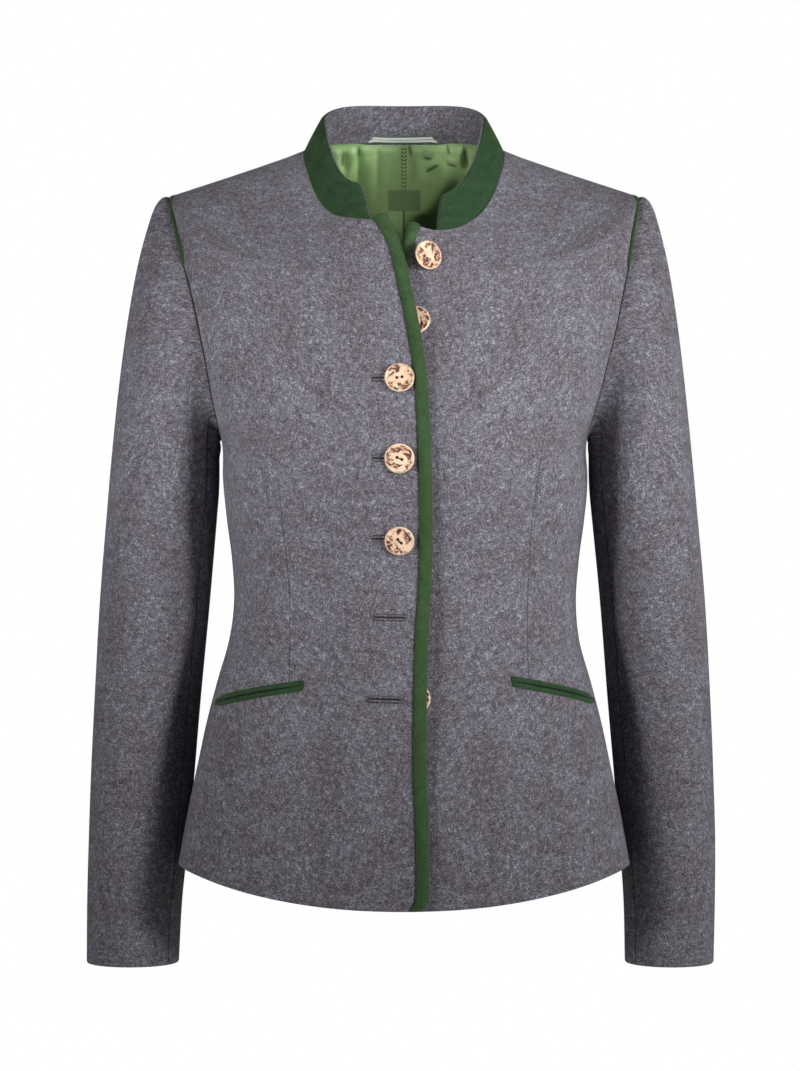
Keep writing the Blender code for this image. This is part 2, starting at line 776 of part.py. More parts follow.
def wall(name, colour, outer, inner):
    """The closed wall between two grids of points, rows by columns."""
    bm = bmesh.new()
    faces = [[[bm.verts.new(p) for p in row] for row in grid] for grid in (outer, inner)]
    front, back = faces
    rows, columns = len(front), len(front[0])
    for r in range(rows - 1):
        for c in range(columns - 1):
            for grid in faces:
                bm.faces.new((grid[r][c], grid[r][c + 1], grid[r + 1][c + 1], grid[r + 1][c]))
    border = [(0, c) for c in range(columns)]
    border += [(r, columns - 1) for r in range(1, rows)]
    border += [(rows - 1, c) for c in range(columns - 2, -1, -1)]
    border += [(r, 0) for r in range(rows - 2, 0, -1)]
    for (r, c), (s, d) in zip(border, border[1:] + border[:1]):
        bm.faces.new((front[r][c], front[s][d], back[s][d], back[r][c]))
    add(name, finish(name, colour, bm))


def tube(name, colour, rows):
    """A closed solid lofted through rows of points, each row one closed outline."""
    bm = bmesh.new()
    rings = [[bm.verts.new(p) for p in row] for row in rows]
    for low, high in zip(rings, rings[1:]):
        for k in range(len(low)):
            n = (k + 1) % len(low)
            bm.faces.new((low[k], low[n], high[n], high[k]))
    bm.faces.new(rings[0])
    bm.faces.new(rings[-1])
    add(name, finish(name, colour, bm))


def finish(name, colour, bm):
    """The mesh, facing out, smooth but for its edges, in its own material."""
    bmesh.ops.recalc_face_normals(bm, faces=bm.faces)
    mesh = bpy.data.meshes.new(name)
    bm.to_mesh(mesh)
    bm.free()
    mesh.shade_smooth()
    mesh.set_sharp_from_angle(angle=math.radians(50))
    material = bpy.data.materials.new(name)
    material.use_nodes = True
    shader = material.node_tree.nodes["Principled BSDF"]
    red, green, blue, roughness = colour
    shader.inputs["Base Color"].default_value = (red, green, blue, 1)
    shader.inputs["Roughness"].default_value = roughness
    mesh.materials.append(material)
    return mesh


def add(name, mesh):
    bpy.context.scene.collection.objects.link(bpy.data.objects.new(name, mesh))


def main():
    for old in list(bpy.data.objects):
        bpy.data.objects.remove(old)
    for side in SIDES:
        make_front(side)
        make_back(side)
        make_lining(side)
        make_sleeve(side)
        make_binding(side)
        make_piping(side)
        make_pocket(side)
    make_collar()
    make_loop()
    make_label()
    make_buttonholes()
    make_buttons()


main()
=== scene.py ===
# %% [markdown]
# # A woman's Tyrolean loden jacket, filled out as if worn
#
# The solids of the jacket come packed, and every piece here is made around them in the same
# frame: metres, +Z up, +X to the wearer's left and -Y to the front. Right and left are the
# wearer's. The lesson cuts the same panels from the same skin as the solids do, only finer, and
# gives them the seams, folds, stitches and cloth that a plain solid lacks.

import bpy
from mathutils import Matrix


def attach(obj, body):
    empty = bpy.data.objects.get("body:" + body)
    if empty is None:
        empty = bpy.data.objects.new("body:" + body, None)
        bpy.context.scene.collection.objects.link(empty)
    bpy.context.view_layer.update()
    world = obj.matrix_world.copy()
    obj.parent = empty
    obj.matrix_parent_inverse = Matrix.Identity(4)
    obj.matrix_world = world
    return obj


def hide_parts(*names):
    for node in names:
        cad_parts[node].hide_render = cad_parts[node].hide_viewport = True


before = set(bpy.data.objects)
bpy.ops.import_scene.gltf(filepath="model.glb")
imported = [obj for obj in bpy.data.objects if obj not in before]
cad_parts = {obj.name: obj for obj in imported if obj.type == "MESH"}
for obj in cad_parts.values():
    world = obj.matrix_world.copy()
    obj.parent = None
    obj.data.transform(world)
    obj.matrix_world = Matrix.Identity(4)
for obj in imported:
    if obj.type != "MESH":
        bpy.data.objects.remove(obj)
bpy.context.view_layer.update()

import math
from collections import namedtuple

import bmesh
import bpy
import numpy as np
from mathutils import Matrix, Vector, noise

scene = bpy.context.scene
print("solids loaded:", len(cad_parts))

# %% [markdown]
# ## The camera first
#
# A garment is best judged flat on, so the camera stands level with the jacket's middle, some
# three metres away, with a long lens. That keeps the shoulders and the hem in proportion.

# %% Camera
CAMERA_PLACE = (-0.0032, -3.2, -0.3114)
PICTURE_HEIGHT = 0.8675


def make_camera():
    data = bpy.data.cameras.new("camera")
    data.sensor_width = 36
    data.lens = data.sensor_width * abs(CAMERA_PLACE[1]) / PICTURE_HEIGHT
    camera = bpy.data.objects.new("camera", data)
    camera.location = CAMERA_PLACE
    camera.rotation_euler = (math.radians(90), 0, 0)
    scene.collection.objects.link(camera)
    scene.camera = camera
    print("lens:", round(data.lens, 1), "mm")


make_camera()

# %% [markdown]
# ## Sizes
#
# Cloth thicknesses and the gaps between sewn layers come first. The bodice is one smooth skin,
# read from a table of sections: each is a ring round the body, level below the arms and tilted up
# over the shoulders above them. A place on it is (run, turn): run goes up from the hem to the
# neck, and turn goes round in degrees from the centre front.

# %% Sizes of the cloth and the bodice
LODEN = 0.0020
FELT = 0.0012
SATIN = 0.0008
RIBBON = 0.0008
SEAM = 0.0003
UP = np.array((0.0, 0.0, 1.0))
SIDES = {"right": -1, "left": 1}


def mm(kind, *rows):
    """Rows of a table, given in millimetres and kept in metres."""
    return tuple(kind(*(value / 1000 for value in row)) for row in rows)


Section = namedtuple(
    "Section", "run front_z side_z back_z half_width front_y side_y back_y square late"
)
SECTIONS = (
    Section(0, -0.604, -0.575, -0.59, 0.1815, -0.13, -0.02, 0.122, 2.2, 0),
    Section(0.042, -0.556, -0.533, -0.545, 0.174, -0.126, -0.018, 0.12, 2.2, 0),
    Section(0.082, -0.508, -0.493, -0.5, 0.1657, -0.1215, -0.014, 0.114, 2.2, 0),
    Section(0.114, -0.47, -0.461, -0.465, 0.159, -0.117, -0.01, 0.107, 2.2, 0),
    Section(0.147, -0.432, -0.428, -0.43, 0.1505, -0.112, -0.006, 0.098, 2.2, 0),
    Section(0.179, -0.398, -0.396, -0.397, 0.1415, -0.107, -0.003, 0.089, 2.2, 0),
    Section(0.211, -0.364, -0.364, -0.364, 0.1377, -0.105, 0, 0.084, 2.2, 0),
    Section(0.244, -0.331, -0.331, -0.331, 0.1393, -0.109, 0, 0.087, 2.3, 0),
    Section(0.276, -0.299, -0.299, -0.299, 0.1434, -0.119, 0, 0.094, 2.4, 0),
    Section(0.3085, -0.2665, -0.2665, -0.2665, 0.1466, -0.129, 0, 0.102, 2.5, 0),
    Section(0.34, -0.235, -0.235, -0.235, 0.1475, -0.133, 0, 0.109, 2.5, 0),
    Section(0.385, -0.199, -0.19, -0.188, 0.165, -0.1285, 0, 0.113, 2.4, 0.1),
    Section(0.435, -0.163, -0.14, -0.135, 0.1815, -0.116, 0, 0.113, 2.35, 0.3),
    Section(0.485, -0.131, -0.09, -0.086, 0.189, -0.1035, 0, 0.106, 2.3, 0.5),
    Section(0.535, -0.1074, -0.0418, -0.0487, 0.1894, -0.094, 0, 0.094, 2.2, 0.7),
    Section(0.54, -0.105, -0.037, -0.045, 0.1895, -0.093, 0, 0.093, 2.2, 0.7),
    Section(0.545, -0.1029, -0.0354, -0.0422, 0.1849, -0.0921, 0, 0.092, 2.2, 0.7),
    Section(0.559, -0.097, -0.031, -0.0345, 0.172, -0.0895, 0.001, 0.088, 2.15, 0.8),
    Section(0.597, -0.082, -0.0187, -0.013, 0.135, -0.083, 0.002, 0.078, 2.1, 0.9),
    Section(0.655, -0.064, 0, 0.0136, 0.081, -0.0755, 0.004, 0.066, 2.05, 1),
)
ARMPIT_RUN = 0.340
SHOULDER_RUN = 0.540
NECK_RUN = 0.655
LATE_ROUND = 1.5
LATE_POWER = 2.2
ARMHOLE_FRONT = {"right": 0.0605, "left": 0.0510}
ARMHOLE_BACK = 0.052
ARMHOLE_SAG = 0.22

# %% [markdown]
# A row between two rows of a table lies on a smooth curve through them, so the skin has no
# kinks. Everything works on whole arrays of places at once, because a fine panel has thousands.

# %% Reading the tables and the skin


def between(table, at):
    """The table's row at each value of its first column, on a smooth curve through the rows."""
    rows = np.array(table, float)
    keys, values = rows[:, 0], rows[:, 1:]
    last = len(keys) - 1
    low, high = np.maximum(np.arange(last + 1) - 1, 0), np.minimum(np.arange(last + 1) + 1, last)
    slopes = (values[high] - values[low]) / (keys[high] - keys[low])[:, None]
    at = np.clip(np.asarray(at, float), keys[0], keys[-1])
    k = np.clip(np.searchsorted(keys, at, side="right") - 1, 0, last - 1)
    step = (keys[k + 1] - keys[k])[..., None]
    s = (at - keys[k])[..., None] / step
    found = (
        values[k] * (1 + 2 * s) * (1 - s) ** 2
        + values[k + 1] * s * s * (3 - 2 * s)
        + slopes[k] * step * s * (1 - s) ** 2
        + slopes[k + 1] * step * s * s * (s - 1)
    )
    return type(table[0])(at, *np.moveaxis(found, -1, 0))


def ease(value, start, end):
    """0 before start, 1 after end, and a soft step between them."""
    s = np.clip((value - start) / (end - start), 0, 1)
    return s * s * (3 - 2 * s)


def unit(vectors):
    return vectors / np.linalg.norm(vectors, axis=-1, keepdims=True)


def skin(run, turn):
    """Points on the bodice's outer face."""
    run, turn = np.broadcast_arrays(np.asarray(run, float), np.asarray(turn, float))
    turn = (turn + 180) % 360 - 180
    ring = between(SECTIONS, run)
    angle = np.radians(np.abs(turn))
    across = np.abs(np.sin(angle)) ** (2 / ring.square)
    along = np.abs(np.cos(angle)) ** (2 / ring.square)
    front = np.abs(turn) <= 90
    end_y = np.where(front, ring.front_y, ring.back_y)
    end_z = np.where(front, ring.front_z, ring.back_z)
    late = (1 - np.abs(np.cos(angle)) ** LATE_ROUND) ** LATE_POWER
    rise = (1 - ring.late) * np.sin(angle) ** 2 + ring.late * late
    x = np.copysign(ring.half_width * across, turn)
    y = ring.side_y + (end_y - ring.side_y) * along
    return np.stack([x, y, end_z + (ring.side_z - end_z) * rise], -1)


def skin_normal(run, turn):
    """The way out of the skin."""
    low, high = np.maximum(run - 0.001, 0), np.minimum(run + 0.001, NECK_RUN)
    round_it = skin(run, turn + 0.5) - skin(run, turn - 0.5)
    return unit(np.cross(round_it, skin(high, turn) - skin(low, turn)))


def turn_at_x(run, x):
    """The turn, on the front, at which a ring passes x."""
    ring = between(SECTIONS, run)
    share = np.minimum(np.abs(x) / ring.half_width, 1)
    return np.copysign(np.degrees(np.arcsin(share ** (ring.square / 2))), x)


def armhole_turn(run, side, back=False):
    """The turn at which the front, or the back, ends: at the side seam or at the armhole."""
    ring = between(SECTIONS, run)
    height = np.clip(1 - 2 * (run - ARMPIT_RUN) / (SHOULDER_RUN - ARMPIT_RUN), -1, 1)
    wide = ARMHOLE_BACK if back else ARMHOLE_FRONT[side]
    reach = SEAM / 2 + wide * np.sqrt(1 - height * height) * (1 + ARMHOLE_SAG * height)
    depth = ring.back_y - ring.side_y if back else ring.side_y - ring.front_y
    turn = np.degrees(np.arccos((reach / depth) ** (ring.square / 2)))
    return 180 - turn if back else turn


def armhole_run(angle):
    """The run of the armhole's edge, at an angle of 0 at the armpit and 180 at the shoulder."""
    return ARMPIT_RUN + (SHOULDER_RUN - ARMPIT_RUN) * (1 - np.cos(np.radians(angle))) / 2


print("skin at the bust:", np.round(skin(0.34, 0.0), 4))

# %% [markdown]
# ## Folds and darts
#
# A filled-out loden jacket has few creases: the cloth is thick and felted. What there is comes
# from the way that it is sewn and worn. Each fold is given as a straight line with its
# own width and height, and it swells and dies away along its length. A dart is a stitched line
# that takes in cloth, so it shows as a fine groove with a soft hollow round it.

# %% Folds and darts
Fold = namedtuple("Fold", "x z end_x end_z width height")
FRONT_FOLDS = {
    "right": mm(
        Fold,
        (128, -215, 112, -330, 11, 1.4),
        (146, -250, 128, -400, 8, -1),
        (60, -380, 72, -560, 15, 1),
        (110, -470, 124, -600, 13, 1.4),
        (148, -500, 160, -590, 10, -1.2),
        (108, -110, 128, -230, 14, -1),
        (44, -140, 86, -190, 16, 0.8),
    ),
    "left": mm(
        Fold,
        (132, -205, 120, -320, 10, 1.5),
        (147, -240, 137, -380, 11, 2.2),
        (66, -400, 80, -570, 14, 1),
        (116, -480, 132, -600, 12, 1.3),
        (150, -490, 164, -585, 9, -1),
        (112, -105, 126, -235, 13, -1.2),
        (50, -120, 90, -170, 17, 0.8),
    ),
}
BACK_FOLDS = {
    "right": mm(
        Fold,
        (126, -150, 104, -300, 11, 1.6),
        (60, -330, 96, -372, 7, -1.2),
        (50, -300, 100, -335, 8, 1),
        (70, -430, 92, -580, 14, 1.4),
        (30, -480, 36, -590, 11, -1),
    ),
    "left": mm(
        Fold,
        (122, -160, 108, -290, 12, 1.5),
        (56, -338, 100, -364, 8, -1.1),
        (54, -296, 94, -320, 7, 1.1),
        (76, -440, 96, -575, 13, 1.3),
        (34, -470, 40, -590, 12, -1.1),
    ),
}
DartPoint = namedtuple("DartPoint", "z x depth")
DARTS = {
    "right": mm(
        DartPoint,
        (-436, 90.6, 0.6),
        (-360, 90.9, 0.6),
        (-300, 96.2, 0.5),
        (-262, 99, 0),
    ),
    "left": mm(
        DartPoint,
        (-424, 98.4, 0.6),
        (-374, 98.1, 0.6),
        (-301, 100.9, 0.5),
        (-240, 109, 0),
    ),
}
# The dart's groove is shape; its dark line is painted shade in the loden's colour.
DART_GROOVE = 0.0011
DART_HOLLOW = 0.0090


def beside_line(line, x, z):
    """The share along a line at which each place lies, how far aside, and the line's length."""
    along_x, along_z = line.end_x - line.x, line.end_z - line.z
    length = math.hypot(along_x, along_z)
    share = ((x - line.x) * along_x + (z - line.z) * along_z) / length**2
    return share, ((x - line.x) * along_z - (z - line.z) * along_x) / length, length


def fold_height(folds, x, z):
    """How far the folds lift the cloth at a place."""
    total = np.zeros(np.broadcast(x, z).shape)
    for fold in folds:
        share, aside, _ = beside_line(fold, x, z)
        swell = ease(share, -0.15, 0.35) * ease(share, 1.25, 0.65)
        total = total + fold.height * swell * np.exp(-((aside / fold.width) ** 2))
    return total


def dart_depth(side, x, z):
    """How deep the dart's groove, with its soft hollow, lies at a place."""
    dart = between(DARTS[side], z)
    inside = (z > DARTS[side][0].z) & (z < DARTS[side][-1].z)
    aside = np.abs(x - dart.x)
    groove = np.exp(-((aside / DART_GROOVE) ** 2)) + 0.9 * np.exp(-((aside / DART_HOLLOW) ** 2))
    return dart.depth * groove * inside


print("folds:", sum(len(f) for f in (*FRONT_FOLDS.values(), *BACK_FOLDS.values())))

# %% [markdown]
# ## The fronts
#
# The right front laps over the left one, so it stands off it along the middle, and further where
# a button lies between the two. Both end at the neck in a corner that lifts a little.

# %% Where the fronts lie
Edge = namedtuple("Edge", "z x")
RIGHT_EDGE = mm(
    Edge,
    (-604.5, 12), (-596, 18.7), (-534, 18.7), (-487, 17.1),
    (-394, 18.4), (-339, 21.6), (-261.5, 21.5), (-194.5, 18.3),
    (-154.4, 13.3), (-118.6, 6.3), (-81.6, -2.4), (-55, -14.2),
)
LEFT_EDGE = mm(
    Edge,
    (-604.5, -9), (-596, -15), (-440, -15), (-375, -23),
    (-330, -26.5), (-260, -26.5), (-190, -24.5), (-160, -19),
    (-120, -11.5), (-80, -2), (-61, 3.6),
)
Lift = namedtuple("Lift", "z rise")
RIGHT_LIFT = mm(
    Lift,
    (-604.5, 4.8), (-500, 6), (-470, 8.4), (-439.2, 9),
    (-375.6, 8.2), (-340, 5.6), (-310, 4.6), (-200, 4.6),
    (-175, 6.6), (-155, 9), (-130, 9), (-90, 6.4),
    (-55, 4.5),
)
LIFT_FULL_X = 0.036
LIFT_NONE_X = 0.070
Front = namedtuple("Front", "side sign edge lift drop corner_rise")
FRONTS = {
    "right": Front("right", -1, RIGHT_EDGE, RIGHT_LIFT, 0.0000, 0.0080),
    "left": Front("left", 1, LEFT_EDGE, None, 0.0055, 0.0050),
}
COLLAR_END_X = 0.0270
NECK_SIDE_X = 0.081
NECK_RAMP = 0.165
CORNER_RAMP = 0.080
CORNER_X = 0.002
BINDING_WIDTH = {"right": 0.0085, "left": 0.0082}
BINDING_GAP = 0.0006
RUN_STEP = 0.0005


def front_point(front, run, turn, out=0.0):
    """Points of a front, out from its outer face. turn counts from the centre to its own side."""
    run, turn = np.broadcast_arrays(np.asarray(run, float), np.asarray(turn, float))
    point = skin(run, turn * front.sign)
    own_x = point[..., 0] * front.sign
    at_neck = ease(run, NECK_RUN - NECK_RAMP, NECK_RUN)
    at_corner = ease(run, NECK_RUN - CORNER_RAMP, NECK_RUN)
    point[..., 2] -= front.drop * at_neck * (1 - ease(own_x, COLLAR_END_X, NECK_SIDE_X))
    point[..., 2] += front.corner_rise * at_corner * (1 - ease(own_x, CORNER_X, COLLAR_END_X))
    rise = fold_height(FRONT_FOLDS[front.side], own_x, point[..., 2])
    if front.lift:
        near = 1 - ease(own_x, LIFT_FULL_X, LIFT_NONE_X)
        rise = rise + between(front.lift, point[..., 2]).rise * near
    out = np.asarray(out) + rise
    return point + skin_normal(run, turn * front.sign) * out[..., None]


def edge_turn(front, run):
    """The turn, counted to its own side, of a front's edge."""
    turn = np.zeros_like(run)
    for _ in range(4):
        z = front_point(front, run, turn)[..., 2]
        edge_x = between(front.edge, z).x * front.sign + BINDING_GAP + FELT
        turn = turn_at_x(run, edge_x)
    return turn


def bound_turn(front, run):
    """The turn of the inner side of a front's binding."""
    edge_x = skin(run, edge_turn(front, run) * front.sign)[..., 0] * front.sign
    return turn_at_x(run, edge_x + BINDING_WIDTH[front.side])


def front_run(front, turn, z):
    """The run at which a front reaches a height."""
    turn, z = np.broadcast_arrays(np.asarray(turn, float), np.asarray(z, float))
    run = np.full(z.shape, NECK_RUN / 2)
    for _ in range(8):
        here, ahead = (front_point(front, run + more, turn)[..., 2] for more in (0, RUN_STEP))
        run = np.clip(run + (z - here) * RUN_STEP / (ahead - here), 0, NECK_RUN - RUN_STEP)
    return run


def front_place(front, x, z, out=0.0):
    """Points of a front at an x and a height, out from its outer face."""
    x, z = np.broadcast_arrays(np.asarray(x, float), np.asarray(z, float))
    run = np.full(z.shape, NECK_RUN / 2)
    for _ in range(10):
        turn = turn_at_x(run, x * front.sign)
        here, ahead = (front_point(front, run + more, turn)[..., 2] for more in (0, RUN_STEP))
        run = np.clip(run + (z - here) * RUN_STEP / (ahead - here), 0, NECK_RUN - RUN_STEP)
    return front_point(front, run, turn, out)


def front_at(front, turn, z, out=0.0):
    """Points of a front at a turn and a height."""
    return front_point(front, front_run(front, turn, z), turn, out)


print("right edge at the hem:", np.round(front_point(FRONTS["right"], 0.05, 5.0), 4))

# %% [markdown]
# ## Finishes
#
# Loden is wool that is woven, fulled until the weave is gone, and raised to a short nap. The grey
# is not dyed but mixed from dark, pale and faintly violet fibres, which lie as short curls. So its
# pattern is layers of noise, stretched along the nap and bent by a slower noise, on the piece's
# own map in metres. The nap is also a fine bump, and a soft sheen lights its edges.

# %% Helpers for materials


def feed(tree, socket, value):
    """Give a socket a value, or link another node's socket to it."""
    if isinstance(value, bpy.types.NodeSocket):
        tree.links.new(value, socket)
    else:
        socket.default_value = value


def node(tree, kind, output=0, **given):
    """One output of a new node. Small letters name its settings, and capitals its inputs."""
    made = tree.nodes.new(kind)
    for key, value in given.items():
        if key.islower():
            setattr(made, key, value)
            continue
        found = [s for s in made.inputs if s.name.replace(" ", "_") == key and s.enabled]
        feed(tree, found[0], value)
    return made.outputs[output]


def calculate(tree, operation, first, second, kind="ShaderNodeMath"):
    """The socket that adds, multiplies or otherwise joins two values or sockets."""
    made = tree.nodes.new(kind)
    made.operation = operation
    feed(tree, made.inputs[0], first)
    feed(tree, made.inputs[1], second)
    return made.outputs[0]


def start_material(name, roughness, **inputs):
    """A material with its node tree and its shader."""
    material = bpy.data.materials.new(name)
    material.use_nodes = True
    shader = material.node_tree.nodes["Principled BSDF"]
    for key, value in {"Roughness": roughness, "Specular_IOR_Level": 0.25, **inputs}.items():
        shader.inputs[key.replace("_", " ")].default_value = value
    return material, material.node_tree, shader


def finish(made, base, height, distance, strength):
    """Give the material its colour, and a bump from a height."""
    material, tree, shader = made
    tree.links.new(base, shader.inputs["Base Color"])
    size = {"Distance": distance, "Strength": strength}
    bump = node(tree, "ShaderNodeBump", "Normal", Height=height, **size)
    tree.links.new(bump, shader.inputs["Normal"])
    return material


def own_map(tree, title="cloth"):
    """A map of the piece. The one called "cloth" is in metres."""
    return node(tree, "ShaderNodeUVMap", uv_map=title)


def bent(tree, place, scale, amount):
    """A place pushed about by slow noise."""
    vector = "ShaderNodeVectorMath"
    slow = node(tree, "ShaderNodeTexNoise", "Color", Vector=place, Scale=scale, Detail=1.0)
    centred = calculate(tree, "SUBTRACT", slow, (0.5, 0.5, 0.5), vector)
    pushed = node(tree, vector, operation="SCALE", Vector=centred, Scale=amount)
    return calculate(tree, "ADD", place, pushed, vector)


def speckle(tree, place, scale, detail=2.0, roughness=0.5):
    given = {"Scale": scale, "Detail": detail, "Roughness": roughness}
    return node(tree, "ShaderNodeTexNoise", "Fac", Vector=place, **given)


def wave(tree, place, scale, way, distortion=0.0):
    given = {"Vector": place, "Scale": scale, "Distortion": distortion}
    return node(tree, "ShaderNodeTexWave", "Fac", bands_direction=way, **given)


def weighed(tree, *parts):
    """The sum of values, each times its share."""
    total = 0.0
    for value, share in parts:
        total = calculate(tree, "ADD", calculate(tree, "MULTIPLY", value, share), total)
    return total


def ramp(tree, value, *stops, kind="LINEAR"):
    """A colour ramp: stops of (position, colour)."""
    ramped = node(tree, "ShaderNodeValToRGB", Fac=value)
    ramped.node.color_ramp.interpolation = kind
    elements = ramped.node.color_ramp.elements
    for _ in stops[2:]:
        elements.new(0.5)
    for element, (position, colour) in zip(elements, stops):
        element.position = position
        element.color = (*colour, 1)
    return ramped


def tinted(tree, base, by):
    """A colour multiplied by another one, or by a value."""
    made = tree.nodes.new("ShaderNodeMix")
    made.data_type, made.blend_type = "RGBA", "MULTIPLY"
    for index, value in ((0, 1.0), (6, base), (7, by)):
        feed(tree, made.inputs[index], value)
    return made.outputs[2]


def ribbed(tree, base, ribs, dark):
    """A colour with fine ribs, which go down to a dark share of it."""
    return tinted(tree, base, ramp(tree, ribs, (0, (dark,) * 3), (1, (1, 1, 1))))


# %% Loden


def painted_seam_shade(tree, base, darts, seams, reach=0.0006):
    """Painted shade: the colour made darker along darts and beside seams. The map "seams" gives
    how far both are.
    """
    split = node(tree, "ShaderNodeSeparateXYZ", Vector=own_map(tree, "seams")).node.outputs
    aside = calculate(tree, "ABSOLUTE", split["X"], 0.0)
    for distance, near, far, depth in (
        (aside, 0.0002, reach, darts),
        (split["Y"], 0.0003, 0.0010, seams),
    ):
        limits = {"From_Min": near, "From_Max": far, "To_Min": 1 - depth}
        base = tinted(tree, base, node(tree, "ShaderNodeMapRange", Value=distance, **limits))
    return base


def make_loden(name, turn):
    """Grey loden with its nap lying along a turned direction."""
    sheen = {"Sheen_Weight": 0.14, "Sheen_Roughness": 0.45, "Sheen_Tint": (0.80, 0.78, 0.84, 1)}
    made = start_material(name, 0.92, **sheen)
    tree = made[1]
    flat = own_map(tree)
    curled = bent(tree, flat, 300.0, 0.0036)
    strands = []
    for scale, way in ((620.0, turn), (560.0, turn + 1.5)):
        lie = {"Scale": (2.6, 1, 1), "Rotation": (0, 0, way)}
        lying = node(tree, "ShaderNodeMapping", vector_type="TEXTURE", Vector=curled, **lie)
        strands.append((speckle(tree, lying, scale, 1.5, 0.6), 0.27))
    grain = speckle(tree, flat, 850.0, 1.5, 0.6)
    clouds = speckle(tree, flat, 150.0, 2.0, 0.6)
    broad = speckle(tree, flat, 32.0)
    mixed = weighed(tree, *strands, (grain, 0.44), (clouds, 0.20), (broad, 0.12))
    base = ramp(
        tree,
        mixed,
        (0.47, (0.027, 0.026, 0.030)),
        (0.61, (0.106, 0.100, 0.114)),
        (0.71, (0.198, 0.190, 0.213)),
        (0.86, (0.540, 0.532, 0.570)),
    )
    cast = ramp(tree, broad, (0.35, (1.03, 0.975, 1.00)), (0.65, (0.98, 0.99, 1.04)))
    # Painted shade: the colour is darker along the darts and beside the sewn seams.
    base = painted_seam_shade(tree, tinted(tree, base, cast), 0.50, 0.80)
    return finish(made, base, mixed, 0.0010, 0.6)


# %% [markdown]
# The green trim is thin wool felt: one colour, matt, with a faint cloudiness and a very fine
# fuzz. The lining is a satin, so it is glossier, with a fine twill that only bends the light.
# The loop is a woven ribbon with lengthwise stripes, and the buttons are slices of stag antler.

# %% Felt, satin, ribbon and horn


def make_felt(name, colour, pale):
    sheen = {"Sheen_Weight": 0.20, "Sheen_Roughness": 0.45, "Sheen_Tint": (0.42, 0.62, 0.38, 1)}
    made = start_material(name, 0.92, **sheen)
    tree = made[1]
    flat = own_map(tree)
    fuzz = speckle(tree, bent(tree, flat, 300.0, 0.002), 700.0, 3.0, 0.65)
    mixed = weighed(tree, (fuzz, 0.65), (speckle(tree, flat, 90.0), 0.35))
    base = ramp(tree, mixed, (0.34, colour), (0.66, pale))
    return finish(made, base, fuzz, 0.0008, 0.6)


def make_satin(name):
    made = start_material(name, 0.46, Sheen_Weight=0.15, Specular_IOR_Level=0.5)
    tree = made[1]
    flat = own_map(tree)
    twill = wave(tree, flat, 700.0, "DIAGONAL", 0.6)
    clouds = speckle(tree, flat, 45.0)
    base = ramp(tree, clouds, (0.35, (0.270, 0.430, 0.165)), (0.65, (0.318, 0.500, 0.198)))
    # Painted shade: darker along the lining's crease lines and beside its seams below the label.
    base = painted_seam_shade(tree, ribbed(tree, base, twill, 0.86), 0.78, 0.85, 0.0019)
    return finish(made, base, twill, 0.0001, 0.4)


def make_label_cloth(name):
    made = start_material(name, 0.6, Sheen_Weight=0.1)
    tree = made[1]
    flat = own_map(tree)
    weft, warp = wave(tree, flat, 900.0, "Y"), wave(tree, flat, 700.0, "X")
    woven = calculate(tree, "MULTIPLY", weft, warp)
    base = ramp(tree, woven, (0.0, (0.150, 0.230, 0.105)), (1.0, (0.240, 0.360, 0.170)))
    return finish(made, base, woven, 0.0002, 0.6)


def make_ribbon(name):
    """Stripes across the ribbon's own map: green borders, white bands, and a dark core."""
    made = start_material(name, 0.5, Sheen_Weight=0.1)
    tree = made[1]
    across = node(tree, "ShaderNodeSeparateXYZ", "Y", Vector=own_map(tree, "stripe"))
    green, white, core = (0.075, 0.170, 0.070), (0.86, 0.90, 0.84), (0.200, 0.220, 0.200)
    stripes = ((0.0, green), (0.14, white), (0.46, core), (0.54, white), (0.86, green))
    base = ramp(tree, across, *stripes, kind="CONSTANT")
    ribs = wave(tree, own_map(tree), 900.0, "X")
    return finish(made, ribbed(tree, base, ribs, 0.80), ribs, 0.0002, 0.6)


def make_horn(name):
    """Antler: cream where it is polished, brown in its pits, painted shade in its thread holes,
    read from the relief's own values.
    """
    glow = {"Subsurface_Weight": 0.08, "Subsurface_Radius": (0.002, 0.001, 0.0005)}
    made = start_material(name, 0.28, Specular_IOR_Level=0.5, **glow)
    tree = made[1]
    relief = node(tree, "ShaderNodeAttribute", "Fac", attribute_name="relief")
    place = node(tree, "ShaderNodeTexCoord", "Object")
    grain = speckle(tree, place, 900.0, 3.0, 0.6)
    base = ramp(
        tree,
        weighed(tree, (grain, 0.18), (relief, 1.0)),
        (0.14, (0.040, 0.015, 0.011)),
        (0.42, (0.190, 0.085, 0.060)),
        (0.66, (0.440, 0.260, 0.175)),
        (0.84, (0.700, 0.490, 0.320)),
        (1.05, (0.860, 0.680, 0.490)),
    )
    blush = speckle(tree, place, 160.0)
    warm = ramp(tree, blush, (0.4, (1.0, 0.88, 0.86)), (0.65, (1.0, 1.0, 1.0)))
    return finish(made, tinted(tree, base, warm), grain, 0.0003, 0.5)


def make_thread(name, colour):
    """Sewing thread: a fine twist along each stitch."""
    made = start_material(name, 0.65, Sheen_Weight=0.2)
    tree = made[1]
    twist = wave(tree, node(tree, "ShaderNodeTexCoord", "Object"), 1400.0, "DIAGONAL")
    base = ramp(tree, twist, (0.2, tuple(c * 0.55 for c in colour)), (0.8, colour))
    return finish(made, base, twist, 0.0001, 0.5)


